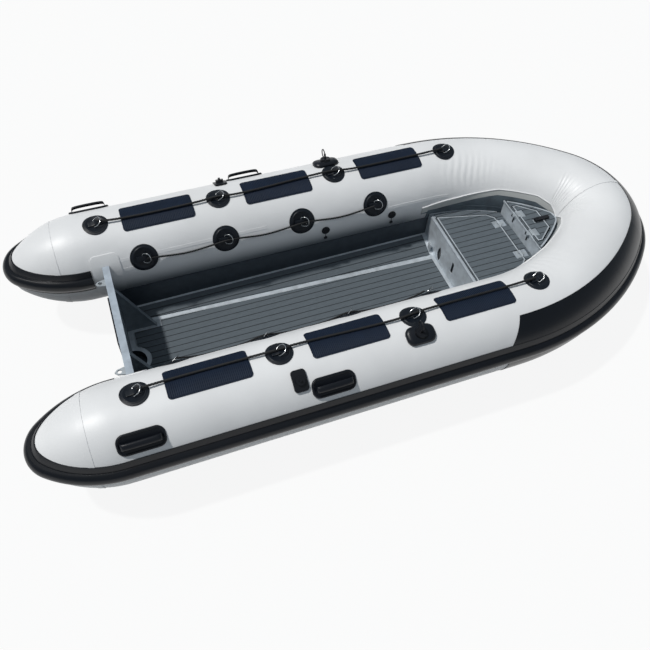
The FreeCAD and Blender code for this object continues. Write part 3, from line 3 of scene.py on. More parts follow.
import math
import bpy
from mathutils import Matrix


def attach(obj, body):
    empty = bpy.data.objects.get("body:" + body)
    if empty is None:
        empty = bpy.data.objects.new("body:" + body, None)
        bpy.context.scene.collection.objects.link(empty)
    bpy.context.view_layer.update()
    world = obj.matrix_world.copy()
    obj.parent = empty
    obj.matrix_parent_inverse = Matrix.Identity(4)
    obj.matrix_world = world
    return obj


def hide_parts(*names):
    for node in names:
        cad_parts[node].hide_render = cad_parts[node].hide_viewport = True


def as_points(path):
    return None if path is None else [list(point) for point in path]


bl_info = {
    "name": "Rigid inflatable boat",
    "version": (1, 0, 0),
    "blender": (4, 5, 0),
    "location": "View3D > Sidebar > Boat",
    "description": "Dresses the packed boat with fabric tubes, rubber fittings, ropes and metal finishes",
    "category": "Object",
}

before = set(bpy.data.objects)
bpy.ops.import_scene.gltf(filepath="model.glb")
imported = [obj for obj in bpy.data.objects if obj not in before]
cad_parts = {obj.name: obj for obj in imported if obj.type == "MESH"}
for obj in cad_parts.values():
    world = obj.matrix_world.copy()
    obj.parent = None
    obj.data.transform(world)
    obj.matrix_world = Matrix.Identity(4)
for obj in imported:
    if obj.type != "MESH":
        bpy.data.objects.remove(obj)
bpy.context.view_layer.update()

import bmesh
import bpy
from bpy.props import FloatProperty, FloatVectorProperty, IntProperty, PointerProperty, StringProperty
from bpy.types import Operator, Panel, PropertyGroup
from mathutils import Matrix, Vector, noise

PORT = 1
STARBOARD = -1
SIDES = ((PORT, "port"), (STARBOARD, "starboard"))
UP = Vector((0, 0, 1))
IMAGE_SIDE = 650
WHITE = (1, 1, 1, 1)
FLOOR_SIDE = 60
MIDSHIPS = 1.3

# Places along the boat from the transom's face, and angles in degrees round the tube from outboard
TOP_RINGS = (0.020, 0.682, 1.359, 2.061)
INNER_RINGS = (0.218, 0.666, 1.106, 1.555)
TOP_ANGLE = 96
INNER_ANGLE = 153
PAD_STARTS = (0.153, 0.824, 1.506)
HANDLE_PLACES = (0.0, 0.881)
HANDLE_ANGLE = 44
BLOCK_PLACE = 1.351
BLOCK_ANGLE = 70
VALVE_PLACES = (1.243, 1.660)
VALVE_ANGLE = 175
# Length of one turn of the ropes' strands
LAY_LENGTH = 0.045
# Flange: run along the tube, angle of its upper edge, angle of its lower edge
FLANGE_EDGES = ((1.860, 175, 187), (2.130, 167, 178), (2.430, 154, 163), (2.720, 153, 163),
                (2.860, 161, 172), (3.070, 170, 182))


# Sizes and colours that a user would change


class StageSizes(PropertyGroup):
    """Camera, floor and lamps."""
    camera_place: FloatVectorProperty(name="Camera", description="Where the camera stands, row frame",
                                      default=(0.1796, -2.2409, 3.130), subtype="TRANSLATION", unit="LENGTH")
    camera_azimuth: FloatProperty(name="Azimuth", description="Camera's place round the boat from square off",
                                  default=math.radians(-23.081), subtype="ANGLE")
    camera_elevation: FloatProperty(name="Elevation", description="Camera's look down",
                                    default=math.radians(52.844), subtype="ANGLE")
    camera_roll: FloatProperty(name="Roll", description="Camera's tilt about its own axis",
                               default=math.radians(3.583), subtype="ANGLE")
    focal_pixels: FloatProperty(name="Focal length", description="Focal length in pixels of the photograph",
                                default=674.12)
    floor_colour: StringProperty(name="Floor", description="Colour of the floor", default="#6E7070")
    sky_strength: FloatProperty(name="Sky", description="Light of the plain surroundings", default=0.29)
    sun_strength: FloatProperty(name="Sun lamp", description="Strength of the soft sun", default=2.55)
    fill_strength: FloatProperty(name="Fill lamp", description="Power of the fill", default=6.0, unit="POWER")


class CollarSizes(PropertyGroup):
    """The inflated tubes."""
    radius: FloatProperty(name="Tube radius", description="Half the tube's diameter",
                          default=0.240, unit="LENGTH")
    half_beam: FloatProperty(name="Half beam", description="Centreline to the tube's axis",
                             default=0.571, unit="LENGTH")
    axis_height: FloatProperty(name="Axis height", description="Waterline to the tube's axis",
                               default=0.340, unit="LENGTH")
    straight_end: FloatProperty(name="Straight run", description="Where the tube starts to turn in",
                                default=1.900, unit="LENGTH")
    shoulder_radius: FloatProperty(name="Shoulder radius", description="Gentle turn of the axis",
                                   default=1.150, unit="LENGTH")
    shoulder_angle: FloatProperty(name="Shoulder angle", description="Turn of the shoulder",
                                  default=math.radians(46), subtype="ANGLE")
    cone_seam: FloatProperty(name="Cone seam", description="Seam of the stern cone, aft of the transom",
                             default=0.085, unit="LENGTH")
    cone_tape: FloatProperty(name="Cone tape", description="Welded strip round the cone, aft of its seam",
                             default=0.142, unit="LENGTH")
    cone_side_radius: FloatProperty(name="Cone flank", description="Radius of the cone's long flank",
                                    default=0.530, unit="LENGTH")
    cone_side_angle: FloatProperty(name="Cone flank angle", description="Turn of that flank",
                                   default=math.radians(40), subtype="ANGLE")
    segments: IntProperty(name="Segments", description="Faces round the tube", default=96, min=24)
    crease: FloatProperty(name="Creases", description="Depth of the fabric's creases",
                          default=0.0026, unit="LENGTH")
    fabric: StringProperty(name="Fabric", description="Colour of the coated fabric", default="#E9EAEB")
    # painted shade: the colour that the tubes' fabric fades to low down on the boat's inner side
    painted_shade: StringProperty(name="Shaded fabric", description="Colour of the painted shade low on the inner side", default="#666D74")


class FittingSizes(PropertyGroup):
    """Patches, pads and ropes on the tubes."""
    patch_radius: FloatProperty(name="Top patch", description="Radius of a top patch",
                                default=0.066, unit="LENGTH")
    inner_patch_radius: FloatProperty(name="Inner patch", description="Radius of an inner patch",
                                      default=0.074, unit="LENGTH")
    lifeline_diameter: FloatProperty(name="Lifeline", description="Diameter of the rope on the tubes",
                                     default=0.012, unit="LENGTH")
    grab_diameter: FloatProperty(name="Grab line", description="Diameter of the rope inside",
                                 default=0.010, unit="LENGTH")
    rubber: StringProperty(name="Rubber", description="Colour of patches and strakes", default="#0B1017")
    rope: StringProperty(name="Rope", description="Colour of the ropes", default="#15171B")
    pad: StringProperty(name="Pads", description="Colour of the wear pads", default="#0F1928")


class HullSizes(PropertyGroup):
    """Finishes of the metal hull and its mats."""
    plank: FloatProperty(name="Plank", description="Spacing of the grooves in the foam",
                         default=0.040, unit="LENGTH")
    foam: StringProperty(name="Foam", description="Colour of the mats", default="#5B646B")
    metal: StringProperty(name="Metal", description="Colour of the coated aluminium", default="#AAB3BC")
    # painted shade: the hull's inner side sheet is drawn darker than the rest of the grey coat, for the shade
    # under the tubes
    shaded_side_sheet: StringProperty(name="Side sheet", description="Colour of the hull's inner side",
                               default="#5F6A72")


GROUPS = (("boat_stage", StageSizes), ("boat_collar", CollarSizes),
          ("boat_fittings", FittingSizes), ("boat_hull", HullSizes))


# Colours and materials


def linear(hex_text):
    """An sRGB hex colour as linear numbers."""
    channels = [int(hex_text[i:i + 2], 16) / 255 for i in (1, 3, 5)]
    return [c / 12.92 if c <= 0.04045 else ((c + 0.055) / 1.055) ** 2.4 for c in channels] + [1.0]


def dimmed(colour, share):
    """The same colour, darker or lighter by a share."""
    parts = [min(255, round(int(colour[start:start + 2], 16) * share)) for start in (1, 3, 5)]
    return "#%02X%02X%02X" % tuple(parts)


def output_of(source):
    """A node's first output that is in use, or the socket itself."""
    if isinstance(source, bpy.types.NodeSocket):
        return source
    return next(socket for socket in source.outputs if socket.enabled)


def add_node(tree, kind, settings=None, links=None, feeds=None):
    """One shader node: its attributes and socket values, what feeds its sockets, and the socket it feeds."""
    made = tree.nodes.new(kind)
    for name, value in (settings or {}).items():
        if isinstance(name, int) or name in made.inputs:
            made.inputs[name].default_value = value
        else:
            setattr(made, name, value)
    for name, source in (links or {}).items():
        tree.links.new(output_of(source), made.inputs[name])
    if feeds:
        tree.links.new(output_of(made), feeds)
    return made


def new_material(name, colour, roughness, metallic=0.0, specular=0.5):
    """A material with a principled shader: (material, tree, shader, Object coordinates in metres)."""
    made = bpy.data.materials.new(name)
    made.use_nodes = True
    tree = made.node_tree
    shader = tree.nodes["Principled BSDF"]
    for socket, value in (("Base Color", linear(colour)), ("Roughness", roughness), ("Metallic", metallic),
                          ("Specular IOR Level", specular)):
        shader.inputs[socket].default_value = value
    return made, tree, shader, add_node(tree, "ShaderNodeTexCoord").outputs["Object"]


def mottle(tree, shader, place, tones, period, detail=3.0, low=0.0, high=1.0):
    """Colour that wanders from a dark to a light tone, in soft blobs about one period across, in metres."""
    blobs = add_node(tree, "ShaderNodeTexNoise", {"Scale": 1 / period, "Detail": detail}, {"Vector": place})
    share = add_node(tree, "ShaderNodeMapRange", {"From Min": low, "From Max": high}, {"Value": blobs})
    dark, light = tones
    add_node(tree, "ShaderNodeMix", {"data_type": "RGBA", "A": linear(dark), "B": linear(light)},
             {"Factor": share}, shader.inputs["Base Color"])


def fine_grain(tree, shader, place, period, depth, strength=0.5):
    """Relief of soft noise, in metres."""
    bumps = add_node(tree, "ShaderNodeTexNoise", {"Scale": 1 / period, "Detail": 3.0}, {"Vector": place})
    add_node(tree, "ShaderNodeBump", {"Strength": strength, "Distance": depth}, {"Height": bumps},
             shader.inputs["Normal"])


def coated_fabric(name, colour):
    """Calendered PVC on polyester cloth: matt, faintly woven, a little soiled."""
    made, tree, shader, place = new_material(name, colour, 0.42)
    mottle(tree, shader, place, (dimmed(colour, 0.96), colour), 0.35, low=0.35, high=0.7)
    # threads of 1 mm are too fine at this distance, so the weave is drawn at 4 mm, on ripples of 110 mm
    weave, ripple = (add_node(tree, "ShaderNodeTexNoise", {"Scale": 1 / period, "Detail": detail},
                              {"Vector": place}) for period, detail in ((0.004, 1.0), (0.11, 2.0)))
    height = add_node(tree, "ShaderNodeMath", {"operation": "MULTIPLY_ADD", 1: 5.0}, {0: ripple, 2: weave})
    add_node(tree, "ShaderNodeBump", {"Strength": 0.5, "Distance": 0.0006}, {"Height": height},
             shader.inputs["Normal"])
    return made


def tube_fabric(name, colour, painted_shade):
    """The tubes' fabric, with a painted shade that turns it grey low down on the boat's inner side."""
    made = coated_fabric(name, colour)
    tree = made.node_tree
    base = tree.nodes["Principled BSDF"].inputs["Base Color"]
    clean = base.links[0].from_socket
    place = add_node(tree, "ShaderNodeTexCoord").outputs["Object"]
    parts = add_node(tree, "ShaderNodeSeparateXYZ", links={"Vector": place})
    off = add_node(tree, "ShaderNodeMath", {"operation": "ABSOLUTE"}, {0: parts.outputs["Y"]})
    # painted shade: grey below one height, inboard of one distance and aft of one place, from the first number
    # to the last
    low, inner, aft = (
        add_node(tree, "ShaderNodeMapRange",
                 {"From Min": first, "From Max": last, "interpolation_type": blend}, {"Value": source})
        for source, first, last, blend in ((parts.outputs["Z"], 0.40, 0.25, "SMOOTHSTEP"),
                                           (off, 0.50, 0.44, "LINEAR"),
                                           (parts.outputs["X"], 2.05, 1.75, "LINEAR")))
    share = add_node(tree, "ShaderNodeMath", {"operation": "MULTIPLY"}, {0: low, 1: inner})
    share = add_node(tree, "ShaderNodeMath", {"operation": "MULTIPLY"}, {0: share, 1: aft})
    add_node(tree, "ShaderNodeMix", {"data_type": "RGBA", "B": linear(painted_shade)}, {"Factor": share, "A": clean},
             base)
    return made


def moulded_rubber(name, colour, roughness):
    """Extruded or moulded rubber: satin, faintly dusty in patches, with a fine grain."""
    made, tree, shader, place = new_material(name, colour, roughness, specular=0.35)
    mottle(tree, shader, place, (colour, dimmed(colour, 1.5)), 0.06)
    fine_grain(tree, shader, place, 0.003, 0.0004)
    return made


def ribbed_rubber(name, colour):
    """Non-slip sheet: small ribs across the tube pressed into the rubber."""
    made, tree, shader, place = new_material(name, colour, 0.55, specular=0.16)
    mottle(tree, shader, place, (colour, dimmed(colour, 1.35)), 0.05)
    # ribs of 3 mm are too fine at this distance, so they are drawn 9 mm apart
    ribs = add_node(tree, "ShaderNodeTexWave", {"Scale": 2 * math.pi / (20 * 0.009)}, {"Vector": place})
    add_node(tree, "ShaderNodeBump", {"Strength": 0.8, "Distance": 0.0016}, {"Height": ribs.outputs["Fac"]},
             shader.inputs["Normal"])
    return made


def hard_plastic(name, colour):
    """Injection-moulded nylon: black, lightly grained, half glossy."""
    made, tree, shader, place = new_material(name, colour, 0.36, specular=0.3)
    fine_grain(tree, shader, place, 0.0025, 0.0003)
    return made


def grooved_foam(name, colour, plank):
    """Closed-cell foam: planks with routed grooves, brushed top, dark in the grooves."""
    made, tree, shader, place = new_material(name, colour, 0.85)
    parts = add_node(tree, "ShaderNodeSeparateXYZ", links={"Vector": place})
    planks = add_node(tree, "ShaderNodeMath", {"operation": "DIVIDE", 1: plank}, {0: parts.outputs["Y"]})
    fraction = add_node(tree, "ShaderNodeMath", {"operation": "PINGPONG", 1: 0.5}, {0: planks})
    groove = add_node(tree, "ShaderNodeMapRange",
                      {"From Min": 0.42, "From Max": 0.47, "To Min": 1.0, "To Max": 0.0}, {"Value": fraction})
    # brush marks 4 mm apart, stretched along the planks
    along = add_node(tree, "ShaderNodeMapping", {"Scale": (0.15, 1, 1)}, {"Vector": place})
    streaks = add_node(tree, "ShaderNodeTexNoise", {"Scale": 1 / 0.004, "Detail": 3.0}, {"Vector": along})
    tone = add_node(tree, "ShaderNodeMapRange", {"From Min": 0.3, "From Max": 0.7, "To Min": 0.75},
                    {"Value": streaks})
    both = add_node(tree, "ShaderNodeMath", {"operation": "MULTIPLY"}, {0: groove, 1: tone})
    add_node(tree, "ShaderNodeMix", {"data_type": "RGBA", "A": linear("#2B3035"), "B": linear(colour)},
             {"Factor": both}, shader.inputs["Base Color"])
    add_node(tree, "ShaderNodeBump", {"Strength": 1.0, "Distance": 0.002}, {"Height": both},
             shader.inputs["Normal"])
    return made


def coated_aluminium(name, colour, roughness=0.42):
    """Aluminium sheet under grey powder coat: satin with a fine orange peel and scuffs."""
    made, tree, shader, place = new_material(name, colour, roughness, 0.25)
    mottle(tree, shader, place, (dimmed(colour, 0.88), colour), 0.05, detail=6.0, low=0.3, high=0.62)
    fine_grain(tree, shader, place, 0.003, 0.0002, 0.4)
    return made


def bright_steel(name):
    """Polished stainless wire: mirror bright, worn duller in places."""
    made, tree, shader, place = new_material(name, "#C9CBCC", 0.24, 1.0)
    rub = add_node(tree, "ShaderNodeTexNoise", {"Scale": 1 / 0.012, "Detail": 3.0}, {"Vector": place})
    add_node(tree, "ShaderNodeMapRange", {"To Min": 0.16, "To Max": 0.36}, {"Value": rub},
             shader.inputs["Roughness"])
    return made


def twisted_rope(name, colour):
    """Three-strand polyester rope: matt, with fibres along the strands."""
    made, tree, shader, place = new_material(name, colour, 0.7)
    mottle(tree, shader, place, (dimmed(colour, 0.35), colour), 0.002)
    fine_grain(tree, shader, place, 0.002, 0.0006, 0.8)
    return made


# Modelling helpers


def clear_selection():
    if bpy.context.object and bpy.context.object.mode != "OBJECT":
        bpy.ops.object.mode_set(mode="OBJECT")
    bpy.ops.object.select_all(action="DESELECT")


def only(thing):
    clear_selection()
    bpy.context.view_layer.objects.active = thing
    thing.select_set(True)
    return thing


def settle(thing):
    """Leave a piece at the origin, unturned and unscaled."""
    only(thing)
    bpy.ops.object.transform_apply(location=True, rotation=True, scale=True)
    return thing


def edit_all():
    bpy.ops.object.mode_set(mode="EDIT")
    bpy.ops.mesh.select_all(action="SELECT")


def leave_edit():
    bpy.ops.object.mode_set(mode="OBJECT")


def choose(thing, test):
    """Select in edit mode the vertices that pass a test, and nothing else."""
    bpy.ops.mesh.select_mode(type="VERT")
    bpy.ops.mesh.select_all(action="DESELECT")
    mesh = bmesh.from_edit_mesh(thing.data)
    for vertex in mesh.verts:
        vertex.select_set(bool(test(vertex.co)))
    mesh.select_flush_mode()
    bmesh.update_edit_mesh(thing.data)


def push(x, y, z):
    """Extrude what is selected by a move."""
    bpy.ops.mesh.extrude_region_move(TRANSFORM_OT_translate={"value": (x, y, z)})


def stepped(steps):
    """Inset what is selected, once for each thickness and depth."""
    for thickness, depth in steps:
        bpy.ops.mesh.inset(thickness=thickness, depth=depth)


def outward(thing):
    """Merge doubles and turn all faces outwards."""
    only(thing)
    edit_all()
    bpy.ops.mesh.remove_doubles(threshold=1e-5)
    bpy.ops.mesh.normals_make_consistent(inside=False)
    leave_edit()
    return thing


def joined(pieces, name):
    clear_selection()
    for piece in pieces:
        piece.select_set(True)
    bpy.context.view_layer.objects.active = pieces[0]
    if len(pieces) > 1:
        bpy.ops.object.join()
    pieces[0].name = name
    return pieces[0]


def smooth(thing, angle=math.radians(35)):
    only(thing)
    bpy.ops.object.shade_smooth_by_angle(angle=angle)
    return thing


def modified(thing, kind, **settings):
    """Add a modifier with its settings and apply it."""
    only(thing)
    made = thing.modifiers.new(kind.lower(), kind)
    for name, value in settings.items():
        setattr(made, name, value)
    bpy.ops.object.modifier_apply(modifier=made.name)
    return thing


def rounded(thing, width):
    """Round every sharp edge."""
    return modified(thing, "BEVEL", width=width, segments=2, limit_method="ANGLE",
                    angle_limit=math.radians(40))


def rounded_plate(length, width, corner, segments, thick, steps):
    """A plate with round corners, raised from the ground plane and then stepped by insets."""
    clear_selection()
    bpy.ops.mesh.primitive_plane_add(size=1)
    thing = bpy.context.object
    thing.scale = (length, width, 1)
    settle(thing)
    edit_all()
    bpy.ops.mesh.bevel(offset=corner, segments=segments, affect="VERTICES")
    bpy.ops.mesh.select_all(action="SELECT")
    push(0, 0, thick)
    stepped(steps)
    leave_edit()
    return thing


def small_plate(size, place, edge=0.001):
    """A small upright or flat plate with rounded edges."""
    clear_selection()
    bpy.ops.mesh.primitive_cube_add(size=1, location=place, scale=size)
    return rounded(settle(bpy.context.object), edge)


def rim(outline, width, low, high):
    """A flat frame that follows an outline in plan, between two heights."""
    clear_selection()
    bpy.ops.mesh.primitive_circle_add(vertices=len(outline), radius=1, fill_type="NGON")
    thing = settle(bpy.context.object)
    for vertex, (x, y) in zip(thing.data.vertices, outline):
        vertex.co = (x, y, low)
    edit_all()
    bpy.ops.mesh.inset(thickness=width, depth=0)
    bpy.ops.mesh.delete(type="FACE")
    bpy.ops.mesh.select_all(action="SELECT")
    push(0, 0, high - low)
    leave_edit()
    return rounded(outward(thing), min(width, high - low) * 0.25)


def curve_object(name, points, kind):
    """A curve with one spline, as an object, and the spline."""
    curve = bpy.data.curves.new(name, "CURVE")
    curve.dimensions = "3D"
    spline = curve.splines.new(kind)
    spline.points.add(len(points) - 1)
    for target, point in zip(spline.points, points):
        target.co = (*point, 1)
    thing = bpy.data.objects.new(name, curve)
    bpy.context.collection.objects.link(thing)
    return thing, spline


def mesh_of(thing):
    """The mesh that a curve's object shows; the curve and its object are then removed."""
    bpy.context.view_layer.update()
    mesh = bpy.data.meshes.new_from_object(thing.evaluated_get(bpy.context.evaluated_depsgraph_get()))
    curve = thing.data
    bpy.data.objects.remove(thing)
    bpy.data.curves.remove(curve)
    return mesh


def painted(thing, material, body="boat"):
    thing.data.materials.clear()
    thing.data.materials.append(material)
    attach(thing, body)
    return thing


# The collar's own lines


def nose_radius(sizes):
    drop = sizes.shoulder_radius * (1 - math.cos(sizes.shoulder_angle))
    return (sizes.half_beam - drop) / math.cos(sizes.shoulder_angle)


def nose_centre_x(sizes):
    reach = (sizes.shoulder_radius - nose_radius(sizes)) * math.sin(sizes.shoulder_angle)
    return sizes.straight_end + reach


def nose_start(sizes):
    """Run along the tube at which the shoulder ends and the nose begins."""
    return sizes.straight_end + sizes.shoulder_radius * sizes.shoulder_angle


def axis_at(sizes, run, side):
    """Axis point and outboard direction at a run along the tube, counted from the transom's face."""
    if run <= sizes.straight_end:
        return Vector((run, side * sizes.half_beam, sizes.axis_height)), Vector((0, side, 0))
    turned = (run - sizes.straight_end) / sizes.shoulder_radius
    if turned <= sizes.shoulder_angle:
        centre = Vector((sizes.straight_end, side * (sizes.half_beam - sizes.shoulder_radius),
                         sizes.axis_height))
        out = Vector((math.sin(turned), side * math.cos(turned), 0))
        return centre + out * sizes.shoulder_radius, out
    turned = sizes.shoulder_angle + (run - nose_start(sizes)) / nose_radius(sizes)
    out = Vector((math.sin(turned), side * math.cos(turned), 0))
    return Vector((nose_centre_x(sizes), 0, sizes.axis_height)) + out * nose_radius(sizes), out


def run_of(sizes, along):
    """Run along the axis at a place along the boat, on the straight or the shoulder."""
    ahead = along - sizes.straight_end
    if ahead <= 0:
        return along
    return sizes.straight_end + sizes.shoulder_radius * math.asin(ahead / sizes.shoulder_radius)


def on_tube(sizes, side, run, angle, lift):
    centre, out = axis_at(sizes, run, side)
    return centre + (out * math.cos(angle) + UP * math.sin(angle)) * (sizes.radius + lift)


def wrap(thing, sizes, side, along, angle, band=None):
    """Lay a flat-modelled piece on the tube: its X runs forward, Y up round the tube, Z out.

    A band gives two angles in degrees at each run, and then Y is the share of the way from one to the other.
    """
    start = run_of(sizes, along)
    mesh = bmesh.new()
    mesh.from_mesh(thing.data)
    for vertex in mesh.verts:
        x, y, z = vertex.co
        if band:
            first, last = band(start + x)
            turned = math.radians(first + y * (last - first))
        else:
            turned = angle + y / sizes.radius
        vertex.co = on_tube(sizes, side, start + x, turned, z)
    if side == PORT:
        bmesh.ops.reverse_faces(mesh, faces=mesh.faces)
    mesh.to_mesh(thing.data)
    mesh.free()
    return thing


def flat_strip(profile, length, steps):
    """A closed profile of (across, up) extruded forward from X 0, ready to be laid on the tube."""
    clear_selection()
    bpy.ops.mesh.primitive_circle_add(vertices=len(profile))
    thing = settle(bpy.context.object)
    for vertex, (across, up) in zip(thing.data.vertices, profile):
        vertex.co = (0, across, up)
    edit_all()
    for _ in range(steps):
        push(length / steps, 0, 0)
    bpy.ops.mesh.select_all(action="SELECT")
    bpy.ops.mesh.fill_holes(sides=0)
    leave_edit()
    return outward(thing)


def lay_in_plan(thing, sizes, side, along):
    """Lay a flat-modelled piece beside the tube's axis: Y is outboard of the axis, Z is the height."""
    start = run_of(sizes, along)
    for vertex in thing.data.vertices:
        x, y, z = vertex.co
        centre, out = axis_at(sizes, start + x, side)
        vertex.co = Vector((centre.x, centre.y, z)) + out * y
    return outward(thing)


def copies_on_tube(template, sizes, side, places, angle, name):
    """Copies of one flat-modelled piece, each with its own mesh, wrapped at several places."""
    made = []
    for along in places:
        copy = template.copy()
        copy.data = template.data.copy()
        bpy.context.collection.objects.link(copy)
        made.append(wrap(copy, sizes, side, along, math.radians(angle)))
    return joined(made, name)


def on_both_sides(template, sizes, places, angle, name):
    """Copies of a template on each tube: (piece, port or starboard). The template is removed."""
    made = []
    for side, word in SIDES:
        piece = copies_on_tube(template, sizes, side, places, angle, "%s_%s" % (name, word))
        made.append((smooth(outward(piece)), word))
    bpy.data.objects.remove(template)
    return made


# Stage


class BOAT_OT_stage(Operator):
    """Camera at the photograph's angle, a pale floor at the waterline and soft light"""
    bl_idname = "boat.stage"
    bl_label = "Stage"

    def execute(self, context):
        stage = context.scene.boat_stage
        self.camera(context, stage)
        self.floor(stage)
        self.lamps(context, stage)
        return {"FINISHED"}

    def camera(self, context, stage):
        azimuth, elevation, roll = stage.camera_azimuth, stage.camera_elevation, stage.camera_roll
        back = Vector((math.sin(azimuth) * math.cos(elevation), -math.cos(azimuth) * math.cos(elevation),
                       math.sin(elevation)))
        level = UP.cross(back).normalized()
        upright = back.cross(level)
        right = level * math.cos(roll) + upright * math.sin(roll)
        above = upright * math.cos(roll) - level * math.sin(roll)
        data = bpy.data.cameras.new("camera")
        data.sensor_fit = "HORIZONTAL"
        data.lens = stage.focal_pixels / IMAGE_SIDE * data.sensor_width
        data.clip_end = 100
        camera = bpy.data.objects.new("camera", data)
        turn = Matrix((right, above, back)).transposed().to_4x4()
        camera.matrix_world = Matrix.Translation(stage.camera_place) @ turn
        context.collection.objects.link(camera)
        context.scene.camera = camera
        context.scene.view_settings.view_transform = "Standard"

    def floor(self, stage):
        """A matt grey floor that the camera and reflections see mostly as white, so it keeps the shadow."""
        glow_strength = 1.5
        glow_share = 0.6
        clear_selection()
        bpy.ops.mesh.primitive_plane_add(size=FLOOR_SIDE, location=(MIDSHIPS, 0, 0))
        plane = bpy.context.object
        plane.name = "floor"
        made, tree, shader, _ = new_material("matt pale floor", stage.floor_colour, 0.9, specular=0.1)
        path = add_node(tree, "ShaderNodeLightPath")
        glow = add_node(tree, "ShaderNodeEmission", {"Color": WHITE, "Strength": glow_strength})
        seen = add_node(tree, "ShaderNodeMath", {"operation": "MAXIMUM"},
                        {0: path.outputs["Is Camera Ray"], 1: path.outputs["Is Glossy Ray"]})
        share = add_node(tree, "ShaderNodeMath", {"operation": "MULTIPLY", 1: glow_share}, {0: seen})
        add_node(tree, "ShaderNodeMixShader", links={0: share, 1: shader, 2: glow},
                 feeds=tree.nodes["Material Output"].inputs["Surface"])
        plane.data.materials.append(made)

    def lamps(self, context, stage):
        world = bpy.data.worlds.new("plain surroundings")
        context.scene.world = world
        world.use_nodes = True
        tree = world.node_tree
        sky = tree.nodes["Background"]
        sky.inputs["Color"].default_value = (0.78, 0.89, 1.0, 1)
        sky.inputs["Strength"].default_value = stage.sky_strength
        white = add_node(tree, "ShaderNodeBackground", {"Color": WHITE, "Strength": 1.0})
        path = add_node(tree, "ShaderNodeLightPath")
        add_node(tree, "ShaderNodeMixShader", links={0: path.outputs["Is Camera Ray"], 1: sky, 2: white},
                 feeds=tree.nodes["World Output"].inputs["Surface"])
        sun = self.lamp(context, "soft sun", "SUN", stage.sun_strength, Vector((-1.5, 2.0, 5.0)),
                        Vector((0.48, -0.17, -1.0)))
        sun.angle = math.radians(3)
        sun.color = (1.0, 0.98, 0.95)
        place = Vector((0.0, -4.5, 4.0))
        towards = Vector((MIDSHIPS, 0, 0.3)) - place
        fill = self.lamp(context, "fill", "AREA", stage.fill_strength, place, towards)
        fill.size = 4.0

    def lamp(self, context, name, kind, strength, place, towards):
        """A lamp that shines in a direction."""
        light = bpy.data.lights.new(name, kind)
        light.energy = strength
        lamp = bpy.data.objects.new(name, light)
        lamp.location = place
        lamp.rotation_euler = towards.to_track_quat("-Z", "Y").to_euler()
        context.collection.objects.link(lamp)
        return light


# Ropes


def lifeline_route(sizes, side):
    """The route of the CAD rope through the four top rings and over the pads."""
    through, resting, away, ends, touch = 0.022, 0.013, 0.110, 0.014, 0.001
    # how far the rope leans from the middle of each ring, as a share
    leans = (0.0, 0.6, -0.5, 0.4)

    def point(along, degrees, lift):
        return on_tube(sizes, side, run_of(sizes, along), math.radians(degrees), lift)

    points = [point(TOP_RINGS[0] + ends, TOP_ANGLE, through)]
    for index, (along, lean) in enumerate(zip(TOP_RINGS, leans)):
        if index:
            points.append(point(along - away, TOP_ANGLE + 4 * lean, resting + touch))
            points.append(point(along, TOP_ANGLE + lean, through))
        if index < len(TOP_RINGS) - 1:
            points.append(point(along + away, TOP_ANGLE + 3 + lean, resting))
    points[-1] = point(TOP_RINGS[-1] - ends, TOP_ANGLE, through)
    return points


def grab_route(sizes, side):
    """The route of the CAD rope through the four inner rings, with a small sag between them."""
    through, resting, ends = 0.0232, 0.0062, 0.014
    # share of the way to the next ring, and degrees that the rope hangs below it
    sags = ((0.2, 3.0), (0.5, 6.5), (0.8, 4.0))

    def point(along, degrees, lift):
        return on_tube(sizes, side, run_of(sizes, along), math.radians(degrees), lift)

    points = [point(INNER_RINGS[0] + ends, INNER_ANGLE, through)]
    for start, end in zip(INNER_RINGS, INNER_RINGS[1:]):
        points += [point(start + share * (end - start), INNER_ANGLE + drop, resting) for share, drop in sags]
        points.append(point(end, INNER_ANGLE, through))
    points[-1] = point(INNER_RINGS[-1] - ends, INNER_ANGLE, through)
    return points


def smooth_line(name, points):
    """Points read from a spline whose control points are the route."""
    thing, spline = curve_object(name, points, "NURBS")
    spline.order_u = 3
    spline.use_endpoint_u = True
    spline.resolution_u = 24
    mesh = mesh_of(thing)
    line = [vertex.co.copy() for vertex in mesh.vertices]
    bpy.data.meshes.remove(mesh)
    return line


def resampled(line, step):
    """The same line with points one step apart, and its length."""
    lengths = [0.0]
    for first, second in zip(line, line[1:]):
        lengths.append(lengths[-1] + (second - first).length)
    count = max(2, round(lengths[-1] / step))
    points = []
    index = 0
    for number in range(count + 1):
        target = lengths[-1] * number / count
        while index < len(line) - 2 and lengths[index + 1] < target:
            index += 1
        span = lengths[index + 1] - lengths[index]
        points.append(line[index].lerp(line[index + 1], (target - lengths[index]) / span if span else 0))
    return points, lengths[-1]


